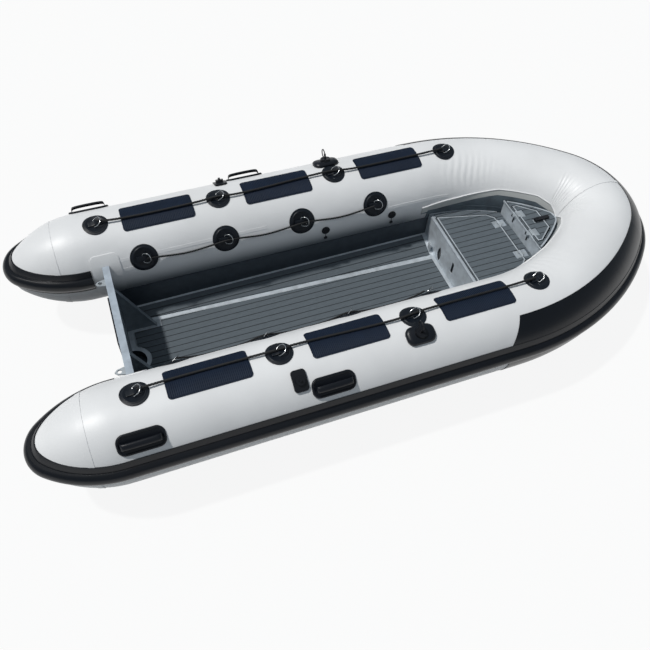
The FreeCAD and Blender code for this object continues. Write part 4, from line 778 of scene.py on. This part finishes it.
def strands(name, line, diameter, lay_length):
    """A tube along a line whose section has three lobes that turn once per lay length."""
    lobes = 3
    around = 15
    base = diameter / 2 * 0.96
    swell = diameter / 2 * 0.08
    points, length = resampled(line, diameter * 0.33)
    normal = UP
    rings = []
    run = 0.0
    mesh = bmesh.new()
    for index, point in enumerate(points):
        ahead = points[min(index + 1, len(points) - 1)] - points[max(index - 1, 0)]
        ahead.normalize()
        normal = (normal - ahead * normal.dot(ahead)).normalized()
        across = ahead.cross(normal)
        if index:
            run += (point - points[index - 1]).length
        twist = 2 * math.pi * run / lay_length
        ring = []
        for step in range(around):
            angle = 2 * math.pi * step / around
            spoke = normal * math.cos(angle) + across * math.sin(angle)
            ring.append(mesh.verts.new(point + spoke * (base + swell * math.cos(lobes * (angle - twist)))))
        rings.append(ring)
    for first, second in zip(rings, rings[1:]):
        for step in range(around):
            following = (step + 1) % around
            mesh.faces.new((first[step], first[following], second[following], second[step]))
    mesh.faces.new(rings[0])
    mesh.faces.new(list(reversed(rings[-1])))
    bmesh.ops.recalc_face_normals(mesh, faces=mesh.faces)
    data = bpy.data.meshes.new(name)
    mesh.to_mesh(data)
    mesh.free()
    thing = bpy.data.objects.new(name, data)
    bpy.context.collection.objects.link(thing)
    return smooth(thing, math.radians(60)), points, length


class BOAT_OT_ropes(Operator):
    """Lifelines on the tubes and grab lines inside the boat"""
    bl_idname = "boat.ropes"
    bl_label = "Ropes"

    def execute(self, context):
        sizes = context.scene.boat_collar
        fittings = context.scene.boat_fittings
        rope = twisted_rope("twisted polyester rope", fittings.rope)
        for side, word in SIDES:
            for kind, route, diameter in (("lifeline", lifeline_route, fittings.lifeline_diameter),
                                          ("grab_line", grab_route, fittings.grab_diameter)):
                points = route(sizes, side)
                line = smooth_line(kind, points)
                piece, path, length = strands("%s_rope_%s" % (kind, word), line, diameter, LAY_LENGTH)
                painted(piece, rope)
                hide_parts("%s_%s" % (kind, word))
                tuple(points[0])
                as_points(path)
        return {"FINISHED"}


# Collar


def cone_rings(sizes, steps=30):
    """Stations of the stern cone aft of its seam, as (distance aft, radius), and the cone's length."""
    flank, angle = sizes.cone_side_radius, sizes.cone_side_angle
    tip = (sizes.radius - flank * (1 - math.cos(angle))) / math.cos(angle)
    centre = (flank - tip) * math.sin(angle)
    rings = []
    for step in range(1, steps + 1):
        turned = angle * step / steps
        rings.append((flank * math.sin(turned), sizes.radius - flank * (1 - math.cos(turned))))
    for step in range(1, steps):
        turned = angle + (math.pi / 2 - angle) * step / steps
        rings.append((centre + tip * math.sin(turned), tip * math.cos(turned)))
    return rings, centre + tip


def tube_frame(sizes, point, side):
    """Axis point, outboard direction, run and share of bend of the tube nearest to a point."""
    shoulder_bend = 0.6
    growing = 0.35
    flat = Vector((point.x, point.y, 0))
    height = UP * sizes.axis_height
    if point.x <= sizes.straight_end:
        return Vector((point.x, side * sizes.half_beam, 0)) + height, Vector((0, side, 0)), point.x, 0.0
    nose = Vector((nose_centre_x(sizes), 0, 0))
    spoke = flat - nose
    turned = math.atan2(spoke.x, side * spoke.y)
    if turned > sizes.shoulder_angle:
        out = spoke.normalized()
        run = nose_start(sizes) + nose_radius(sizes) * (turned - sizes.shoulder_angle)
        return nose + out * nose_radius(sizes) + height, out, run, 1.0
    centre = Vector((sizes.straight_end, side * (sizes.half_beam - sizes.shoulder_radius), 0))
    out = (flat - centre).normalized()
    turned = math.atan2(out.x, side * out.y)
    run = sizes.straight_end + sizes.shoulder_radius * turned
    return centre + out * sizes.shoulder_radius + height, out, run, min(1.0, turned / growing) * shoulder_bend


def flange_band(run):
    """Angles of the flange's two edges at a run: straight between the corners of the outline."""
    previous = FLANGE_EDGES[0]
    for corner in FLANGE_EDGES:
        if run <= corner[0]:
            break
        previous = corner
    span = corner[0] - previous[0]
    share = min(max((run - previous[0]) / span, 0), 1) if span else 0
    return tuple(previous[index] + share * (corner[index] - previous[index]) for index in (1, 2))


def creased(thing, sizes, side):
    """Sculpt the fabric's slight creases: inside the bow's bend, on the shoulder and at the cone's seam."""
    fold_pitch = 0.034
    patch_pitch = 0.045
    # middle and reach of the creases on the shoulder, along the tube in metres and round it in radians
    patch_run, patch_reach = 2.20, 0.16
    patch_angle, patch_spread = math.radians(128), 0.42
    pucker_reach = 0.03
    fade = 0.12
    for vertex in thing.data.vertices:
        point = vertex.co
        axis, out, run, bend = tube_frame(sizes, point, side)
        spoke = point - axis
        angle = math.atan2(spoke.z, spoke.dot(out))
        # folds across the inner side of the bend, wandering and patchy
        inward = max(0.0, -math.cos(angle)) ** 1.5
        wander = noise.noise(Vector((run * 3, angle * 1.5, side * 4.0)))
        folds = math.sin(run / fold_pitch * 2 * math.pi + 5 * wander + 2 * math.sin(angle * 3))
        patchy = 0.5 + 0.5 * noise.noise(Vector((run * 9, angle * 3, 7.0)))
        move = bend * inward * (folds * patchy - 0.4)
        # a slow unevenness all over
        soft = noise.noise(Vector((run * 2.2, angle * 1.2, side * 9.0)))
        move += 0.35 * soft
        # a patch of creases on the shoulder
        away, round_off = (run - patch_run) / patch_reach, (angle - patch_angle) / patch_spread
        spread = math.exp(-away ** 2 - round_off ** 2)
        move += 1.1 * spread * math.sin(run / patch_pitch * 2 * math.pi + 4 * wander)
        # puckers at the stern cone's seam
        seam = math.exp(-((run + sizes.cone_seam) / pucker_reach) ** 2)
        move += 0.22 * seam * math.sin(angle * 42 + 3 * soft)
        # no crease lifts the fabric through the metal below the flange
        around = angle % (2 * math.pi)
        if run > FLANGE_EDGES[0][0] - 0.05 and around < math.radians(230):
            upper = math.radians(flange_band(run)[0])
            move *= min(max((upper - around) / fade, 0.0), 1.0)
        vertex.co = point + spoke.normalized() * sizes.crease * min(move, 1.0)
    thing.data.update()


def hoop(sizes, centre, rotation, radius, move, swell, wall):
    """A band round a tube: a circle extruded by a move, resized by a swell and given a wall outside."""
    clear_selection()
    bpy.ops.mesh.primitive_circle_add(vertices=sizes.segments, radius=radius, location=centre,
                                      rotation=rotation)
    band = settle(bpy.context.object)
    edit_all()
    push(*move)
    bpy.ops.transform.resize(value=(1, swell, swell), center_override=centre)
    leave_edit()
    return modified(outward(band), "SOLIDIFY", thickness=wall, offset=1)


class BOAT_OT_collar(Operator):
    """Inflated tubes with their stern cones, seams and creases"""
    bl_idname = "boat.collar"
    bl_label = "Collar"

    def execute(self, context):
        sizes = context.scene.boat_collar
        # the tubes' fabric carries a painted shade low down on the boat's inner side
        fabric = tube_fabric("coated white fabric", sizes.fabric, sizes.painted_shade)
        for side, word in SIDES:
            tube = self.tube(sizes, side)
            creased(tube, sizes, side)
            tube.name = "inflated_tube_" + word
            smooth(tube, math.radians(50))
            painted(tube, fabric)
            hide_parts("tube_side_" + word, "tube_bow_" + word, "stern_cone_" + word)
        tapes = [self.cone_tape(sizes, side) for side, _ in SIDES]
        tapes.append(self.centre_seam(sizes))
        tapes += [tape for side, _ in SIDES for tape in self.long_tapes(sizes, side)]
        painted(smooth(joined(tapes, "seam_tapes")), fabric)
        return {"FINISHED"}

    def tube(self, sizes, side):
        steps, shoulder_steps, nose_steps = 90, 72, 84
        clear_selection()
        seam = Vector((-sizes.cone_seam, side * sizes.half_beam, sizes.axis_height))
        bpy.ops.mesh.primitive_circle_add(vertices=sizes.segments, radius=sizes.radius, location=seam,
                                          rotation=(0, math.pi / 2, 0))
        thing = settle(bpy.context.object)
        edit_all()
        for _ in range(steps):
            push((sizes.straight_end + sizes.cone_seam) / steps, 0, 0)
        base = side * (sizes.half_beam - sizes.shoulder_radius)
        bpy.ops.mesh.spin(steps=shoulder_steps, angle=side * sizes.shoulder_angle, axis=(0, 0, 1),
                          center=(sizes.straight_end, base, sizes.axis_height))
        bpy.ops.mesh.spin(steps=nose_steps, angle=side * (math.pi / 2 - sizes.shoulder_angle), axis=(0, 0, 1),
                          center=(nose_centre_x(sizes), 0, sizes.axis_height))
        bpy.ops.mesh.edge_face_add()
        choose(thing, lambda point: abs(point.x - seam.x) < 1e-4)
        rings, length = cone_rings(sizes)
        last, radius = 0.0, sizes.radius
        for aft, small in rings:
            push(last - aft, 0, 0)
            share = small / radius
            bpy.ops.transform.resize(value=(1, share, share), center_override=(seam.x - aft, seam.y, seam.z))
            last, radius = aft, small
        push(last - length, 0, 0)
        bpy.ops.mesh.merge(type="CENTER")
        leave_edit()
        return outward(thing)

    def cone_tape(self, sizes, side):
        """The welded strip round a stern cone."""
        half_width = 0.014
        lift = 0.0009
        flank = sizes.cone_side_radius
        first, last = sizes.cone_tape + half_width, sizes.cone_tape - half_width
        small, large = (sizes.radius - flank + math.sqrt(flank * flank - back * back) + lift
                        for back in (first, last))
        centre = Vector((-sizes.cone_seam - first, side * sizes.half_beam, sizes.axis_height))
        return hoop(sizes, centre, (0, math.pi / 2, 0), small, (first - last, 0, 0), large / small, lift)

    def centre_seam(self, sizes):
        """The welded seam round the tube where port meets starboard at the bow."""
        width = 0.020
        lift, wall = 0.0008, 0.0016
        centre = Vector((nose_centre_x(sizes) + nose_radius(sizes), -width / 2, sizes.axis_height))
        return hoop(sizes, centre, (math.pi / 2, 0, 0), sizes.radius + lift, (0, width, 0), 1, wall)

    def long_tapes(self, sizes, side):
        """The welded strips along the tube's inner side: (angle in degrees, forward end)."""
        start = -0.05
        half, edge, thick = 0.009, 0.0085, 0.0011
        for angle, end in ((163, 2.05), (150, 0.9)):
            strip = flat_strip(((-half, 0.0), (-edge, thick), (edge, thick), (half, 0.0)), end - start, 110)
            yield outward(wrap(strip, sizes, side, start, math.radians(angle)))


# Rubber and plastic fittings on the tubes


def round_patch(radius):
    """A patch modelled flat: thin disc, raised middle and a strap over the ring's bar."""
    disc_thick = 0.0034
    strap_width, strap_thick, strap_height = 0.028, 0.005, 0.007
    arch, arch_reach = 0.0048, 0.011
    clear_selection()
    bpy.ops.mesh.primitive_circle_add(vertices=56, radius=radius, fill_type="NGON")
    disc = settle(bpy.context.object)
    edit_all()
    push(0, 0, disc_thick)
    stepped(((0.004, 0.0006), (radius * 0.12, 0), (0.002, 0.0022), (0.003, 0), (0.002, -0.0012)))
    leave_edit()
    rounded(disc, 0.0008)
    clear_selection()
    bpy.ops.mesh.primitive_cube_add(size=1, location=(0, 0, strap_height),
                                    scale=(radius * 1.1, strap_width, strap_thick))
    strap = settle(bpy.context.object)
    edit_all()
    bpy.ops.mesh.subdivide(number_cuts=8)
    leave_edit()
    for vertex in strap.data.vertices:
        vertex.co.z += arch * math.exp(-(vertex.co.x / arch_reach) ** 2)
    return joined([disc, rounded(strap, 0.0012)], "patch_template")


class BOAT_OT_patches(Operator):
    """Rubber patches that hold the rings"""
    bl_idname = "boat.patches"
    bl_label = "Patches"

    def execute(self, context):
        sizes = context.scene.boat_collar
        fittings = context.scene.boat_fittings
        rubber = moulded_rubber("moulded patch rubber", fittings.rubber, 0.42)
        for kind, radius, places, angle in (("top", fittings.patch_radius, TOP_RINGS, TOP_ANGLE),
                                            ("inner", fittings.inner_patch_radius, INNER_RINGS, INNER_ANGLE)):
            for piece, word in on_both_sides(round_patch(radius), sizes, places, angle, kind + "_patches"):
                painted(piece, rubber)
                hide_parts("ring_patches_%s_%s" % (kind, word))
        return {"FINISHED"}


class BOAT_OT_pads(Operator):
    """Non-slip wear pads on top of the tubes"""
    bl_idname = "boat.pads"
    bl_label = "Wear pads"

    def execute(self, context):
        sizes = context.scene.boat_collar
        rubber = ribbed_rubber("ribbed pad rubber", context.scene.boat_fittings.pad)
        length, width, thick = 0.386, 0.166, 0.005
        template = rounded_plate(length, width, 0.018, 6, thick * 0.7, ((0.006, 0), (0.0012, thick * 0.3)))
        # cuts across and along, so that the pad bends round the tube
        for span, count, normal in ((length, 38, Vector((1, 0, 0))), (width, 16, Vector((0, 1, 0)))):
            for step in range(1, count):
                edit_all()
                bpy.ops.mesh.bisect(plane_co=normal * span * (step / count - 0.5), plane_no=normal)
                leave_edit()
        middles = [start + length / 2 for start in PAD_STARTS]
        for piece, word in on_both_sides(template, sizes, middles, TOP_ANGLE, "tread_pads"):
            painted(piece, rubber)
            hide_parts("wear_pads_" + word)
        return {"FINISHED"}


class BOAT_OT_rings(Operator):
    """D-shaped wire rings, each leaning out of its strap with the rope through it"""
    bl_idname = "boat.rings"
    bl_label = "D-rings"

    def execute(self, context):
        sizes = context.scene.boat_collar
        steel = bright_steel("polished ring wire")
        template = self.ring()
        for side, word in SIDES:
            for kind, places, angle in (("top", TOP_RINGS, TOP_ANGLE), ("inner", INNER_RINGS, INNER_ANGLE)):
                name = "rings_%s_%s" % (kind, word)
                piece = smooth(outward(copies_on_tube(template, sizes, side, places, angle, "wire_" + name)))
                painted(piece, steel)
                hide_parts(name)
        bpy.data.objects.remove(template)
        return {"FINISHED"}

    def ring(self):
        """Wire bent to a D: the straight side lies in the strap and the bow leans forward."""
        wire, reach, half, lean = 0.0022, 0.046, 0.024, math.radians(36)
        corner = 0.004
        aft, height = 0.006, 0.0075
        turns = [turn * math.pi / 14 for turn in range(-7, 8)]
        bow = [(reach - half + half * math.cos(turn), half * math.sin(turn)) for turn in turns]
        path = [(0, -half + corner), (corner, -half)] + bow + [(corner, half), (0, half - corner)]
        points = [(x * math.cos(lean) - aft, y, height + x * math.sin(lean)) for x, y in path]
        thing, spline = curve_object("ring", points, "POLY")
        thing.data.bevel_depth = wire
        thing.data.bevel_resolution = 3
        spline.use_cyclic_u = True
        solid = bpy.data.objects.new("ring_template", mesh_of(thing))
        bpy.context.collection.objects.link(solid)
        return solid


class BOAT_OT_blocks(Operator):
    """Moulded oval blocks at the feet of the rowlocks"""
    bl_idname = "boat.blocks"
    bl_label = "Rowlock blocks"

    def execute(self, context):
        length, width, corner, thick = 0.148, 0.092, 0.036, 0.011
        plate = rounded_plate(length, width, corner, 8, thick, ((0.006, 0.007), (0.012, 0.004)))
        template = rounded(plate, 0.0015)
        pair = on_both_sides(template, context.scene.boat_collar, (BLOCK_PLACE,), BLOCK_ANGLE, "block")
        blocks = smooth(outward(joined([piece for piece, _ in pair], "rowlock_blocks")))
        painted(blocks, hard_plastic("moulded block nylon", "#12161D"))
        return {"FINISHED"}


class BOAT_OT_caps(Operator):
    """Spare caps of the inflation valves, each hanging below its valve on a strap"""
    bl_idname = "boat.caps"
    bl_label = "Valve caps"

    def execute(self, context):
        radius, thick, hang = 0.0105, 0.006, 0.060
        clear_selection()
        bpy.ops.mesh.primitive_cylinder_add(vertices=28, radius=radius, depth=thick,
                                            location=(0.002, hang, 0.004))
        disc = rounded(settle(bpy.context.object), 0.001)
        strap_width = 0.003
        near, far, low, high = 0.018, 0.052, 0.0008, 0.0022
        strap = flat_strip(((near, low), (near, high), (far, high), (far, low)), strap_width, 2)
        template = joined([disc, strap], "cap_template")
        pair = on_both_sides(template, context.scene.boat_collar, VALVE_PLACES, VALVE_ANGLE, "caps")
        caps = smooth(outward(joined([piece for piece, _ in pair], "valve_caps")))
        painted(caps, hard_plastic("moulded cap nylon", "#0F131A"))
        return {"FINISHED"}


class BOAT_OT_handles(Operator):
    """Moulded carry handles: an oval base with a rim and a broad grip over a finger recess"""
    bl_idname = "boat.handles"
    bl_label = "Carry handles"

    def execute(self, context):
        sizes = context.scene.boat_collar
        plastic = hard_plastic("moulded handle nylon", "#0F131A")
        length, width, corner, thick = 0.214, 0.098, 0.038, 0.006
        base = rounded_plate(length, width, corner, 10, thick, ((0.004, 0.004), (0.006, 0), (0.003, -0.005)))
        template = joined([rounded(base, 0.0012), self.grip()], "handle_template")
        for piece, word in on_both_sides(template, sizes, HANDLE_PLACES, HANDLE_ANGLE, "moulded_handles"):
            painted(piece, plastic)
            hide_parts("carry_handles_" + word)
        return {"FINISHED"}

    def grip(self):
        """A bar whose two ends turn down and widen into feet."""
        length, width, thick, height = 0.150, 0.030, 0.018, 0.031
        knee_reach, knee_drop = 0.012, 0.006
        foot_reach, foot_drop = 0.006, 0.020
        clear_selection()
        bpy.ops.mesh.primitive_cube_add(size=1, location=(0, 0, height), scale=(length, width, thick))
        thing = settle(bpy.context.object)
        edit_all()
        for end in (1, -1):
            bpy.ops.mesh.select_mode(type="FACE")
            choose(thing, lambda point, end=end: point.x * end > length / 2 - 0.0001)
            push(end * knee_reach, 0, -knee_drop)
            push(end * foot_reach, 0, -foot_drop)
            bpy.ops.transform.resize(value=(0.6, 1.35, 1), center_override=(end * 0.086, 0, 0.006))
        leave_edit()
        return modified(thing, "SUBSURF", levels=2, render_levels=2)


# Trims in the bow


class BOAT_OT_flange(Operator):
    """Fabric flange that laps from the tube onto the hull round the bow, and the hull sheet below it"""
    bl_idname = "boat.flange"
    bl_label = "Bow flange"

    def execute(self, context):
        sizes = context.scene.boat_collar
        start = FLANGE_EDGES[0][0]
        run = nose_start(sizes) + nose_radius(sizes) * (math.pi / 2 - sizes.shoulder_angle) - start
        thick, skin = 0.0026, 0.0005
        # profiles: share of the way from the upper to the lower edge, and height over the tube's skin
        band = ((0.16, thick - 0.002), (0.17, thick), (0.45, thick), (0.72, thick), (0.99, thick), (1.0, skin),
                (0.5, skin), (0.0, skin))
        bead = ((0.0, skin), (0.02, 0.0052), (0.07, 0.0066), (0.12, 0.0052), (0.16, skin))
        shares = [step / 10 for step in range(11)]
        sheet = [(share, 0.0024) for share in shares] + [(share, 0.0004) for share in reversed(shares)]
        pale = self.laid(sizes, band, start, run, flange_band, "bow_flange")
        painted(pale, coated_fabric("coated flange fabric", "#B9BCBA"))
        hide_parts("tube_flange")
        bright = self.laid(sizes, bead, start, run, flange_band, "flange_bead")
        painted(bright, bpy.data.materials["coated white fabric"])
        # the sheet starts just under the flange's lower edge and ends where the CAD liner begins
        overlap, liner_angle = 0.4, 188.5
        shaded_side_sheet = self.laid(sizes, sheet, start, run,
                               lambda place: (flange_band(place)[1] - overlap, liner_angle), "liner_top")
        # painted shade: the sheet's dark colour stands in for the shade under the tube
        painted(shaded_side_sheet, coated_aluminium("side sheet coat with painted shade", context.scene.boat_hull.shaded_side_sheet))
        return {"FINISHED"}

    def laid(self, sizes, profile, start, run, band, name):
        """The same strip laid along both tubes, as one piece."""
        strips = [wrap(flat_strip(profile, run, 100), sizes, side, start, 0, band) for side, _ in SIDES]
        return smooth(outward(joined(strips, name)))


class BOAT_OT_trims(Operator):
    """Edge strips of lockers, lid and hatch in a lighter coat with a painted highlight, the brackets on the
    lockers' faces, and dark plates of painted shade behind the slots
    """
    bl_idname = "boat.trims"
    bl_label = "Trims"

    def execute(self, context):
        # painted highlight: the edge strips, frames, hinge tabs, bracket and foot strip are drawn lighter than
        # the grey coat they are made of
        bright = coated_aluminium("edge strip coat with painted highlight", "#BFC7CE", 0.34)
        width, thick = 0.0065, 0.002
        # one half of each outline in plan, from its aft edge forward
        lid = ((1.951, 0.291), (2.2515, 0.221), (2.291, 0.181))
        hatch = ((2.365, 0.149), (2.394, 0.149), (2.487, 0.071))
        for body, half, low in (("lid", lid, 0.2862), ("hatch", hatch, 0.3862)):
            outline = [(x, -y) for x, y in half] + list(reversed(half))
            frame_strip = rim(outline, width, low, low + thick)
            frame_strip.name = body + "_edge_strip"
            painted(frame_strip, bright, body)
        strips = smooth(joined(self.side_strips(context.scene.boat_collar) + self.face_strips(),
                               "locker_edge_strips"))
        painted(strips, bright)
        # painted shade: dark plates behind the slots stand for the shade inside the lockers
        painted(self.slots(), hard_plastic("painted shade behind the face slots", "#12161C"))
        return {"FINISHED"}

    def side_strips(self, sizes):
        """L-shaped strips along the sloping sides of the two lockers' tops."""
        made = []
        for side, _ in SIDES:
            # outer and inner edge and wall from the tube's axis, top face, start along the boat, length, steps
            for outer, inner, wall, top, along, length, steps in (
                    (-0.2462, -0.2382, -0.2400, 0.2862, 1.926, 0.538, 30),
                    (-0.2560, -0.2470, -0.2490, 0.3862, 2.482, 0.552, 40)):
                high, low = top + 0.0023, top - 0.006
                profile = ((outer, top), (outer, high), (inner, high), (inner, low), (wall, low), (wall, top))
                made.append(lay_in_plan(flat_strip(profile, length, steps), sizes, side, along))
        return made

    def face_strips(self):
        """Hinge tabs, front edges, a bracket and the foot strip of the lockers: size, place and edge."""
        return [small_plate(*each) for each in (
            ((0.003, 0.024, 0.020), (2.3440, 0.083, 0.3700)),
            ((0.003, 0.024, 0.020), (2.3440, -0.075, 0.3700)),
            ((0.012, 0.640, 0.0025), (1.933, 0, 0.2813)),
            ((0.0050, 0.50, 0.0025), (2.3488, 0, 0.3813)),
            ((0.0014, 0.50, 0.012), (2.3451, 0, 0.3765), 0.0004),
            ((0.004, 0.030, 0.075), (1.905, 0.235, 0.098)),
            ((0.022, 0.640, 0.003), (1.911, 0, 0.0618)))]

    def slots(self):
        """Dark plates behind the slots and holes of the lockers' faces: painted shade for the lockers' shaded
        insides.
        """
        made = []
        for off in (0.083, -0.075):
            made.append(small_plate((0.002, 0.010, 0.040), (2.3445, off, 0.345)))
            made.append(small_plate((0.002, 0.008, 0.020), (2.3445, off + 0.022, 0.362)))
        made.append(small_plate((0.002, 0.070, 0.140), (1.9295, 0.143, 0.125)))
        made.append(small_plate((0.002, 0.050, 0.110), (1.9295, -0.018, 0.165)))
        return joined(made, "face_slot_shade_plates")


# CAD nodes that keep their shape


class BOAT_OT_finishes(Operator):
    """Materials of the hull, deck, lockers, strakes and small fittings"""
    bl_idname = "boat.finishes"
    bl_label = "Finishes"

    def execute(self, context):
        fittings = context.scene.boat_fittings
        hull = context.scene.boat_hull
        # beginnings of the nodes' names, for each material; several are copies of one grey coat, lighter for
        # painted sunlight and highlight and darker for painted shade
        finishes = (
            (moulded_rubber("extruded strake rubber", dimmed(fittings.rubber, 0.7), 0.3),
             ("rub_strake", "bow_guard")),
            (hard_plastic("moulded nylon", "#14161B"),
             ("paddle_clips", "rowlocks", "inflation_valves", "hatch_latch", "motor_pad")),
            (grooved_foam("grooved foam", hull.foam, hull.plank),
             ("deck_mat", "locker_mat", "lid_mat", "anchor_mat", "hatch_mat")),
            (bright_steel("stainless steel"), ("bow_eye",)),
            (coated_aluminium("satin hinge metal", "#AEB6BC"),
             ("fixed_hinge", "lid_hinge", "hatch_hinge", "tow_eye")),
            # painted shade: the bow liner in the dark side sheet colour, for the shade under the tubes
            (coated_aluminium("hull side coat with painted shade", hull.shaded_side_sheet), ("bow_liner",)),
            # painted sunlight: the lockers' aft faces are drawn lighter than the coat
            (coated_aluminium("locker face coat with painted sunlight", "#CBD3DA"), ("locker_front", "anchor_front")),
            # painted highlight: the transom's cap is drawn lighter than the coat
            (coated_aluminium("transom cap coat with painted highlight", "#B4BFCA"), ("transom_cap",)),
            # painted sunlight: the floor sheet between the mats is drawn lighter than the coat
            (coated_aluminium("floor sheet coat with painted sunlight", "#C6CED5"), ("deck_plate",)),
            # painted shade: the hull shell and keel strip are drawn dark, to darken the inner side wall under
            # the tubes
            (coated_aluminium("hull shell coat with painted shade", "#414A53"), ("hull_shell", "keel_strip")),
            # painted shade: the transom and its knees are drawn darker than the coat
            (coated_aluminium("stern sheet coat with painted shade", "#7B868F"), ("transom_plate", "transom_knee")),
            (bpy.data.materials["coated white fabric"], ("transom_patch",)),
        )
        metal = coated_aluminium("coated aluminium", hull.metal)
        for name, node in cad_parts.items():
            chosen = next((material for material, starts in finishes if name.startswith(starts)), metal)
            for slot in node.material_slots:
                slot.material = chosen
        return {"FINISHED"}


class BOAT_PT_panel(Panel):
    """Buttons for each group of pieces"""
    bl_label = "Rigid inflatable boat"
    bl_idname = "BOAT_PT_panel"
    bl_space_type = "VIEW_3D"
    bl_region_type = "UI"
    bl_category = "Boat"

    def draw(self, context):
        for operator in OPERATORS:
            self.layout.operator(operator.bl_idname)


OPERATORS = (BOAT_OT_stage, BOAT_OT_ropes, BOAT_OT_collar, BOAT_OT_patches, BOAT_OT_pads, BOAT_OT_rings,
             BOAT_OT_blocks, BOAT_OT_caps, BOAT_OT_handles, BOAT_OT_flange, BOAT_OT_trims, BOAT_OT_finishes)
CLASSES = tuple(group for name, group in GROUPS) + OPERATORS + (BOAT_PT_panel,)


def register():
    for item in CLASSES:
        bpy.utils.register_class(item)
    for name, group in GROUPS:
        setattr(bpy.types.Scene, name, PointerProperty(type=group))


def unregister():
    for name, group in GROUPS:
        delattr(bpy.types.Scene, name)
    for item in reversed(CLASSES):
        bpy.utils.unregister_class(item)


def main():
    register()
    for operator in OPERATORS:
        module, name = operator.bl_idname.split(".")
        getattr(getattr(bpy.ops, module), name)()


if __name__ == "__main__":
    main()
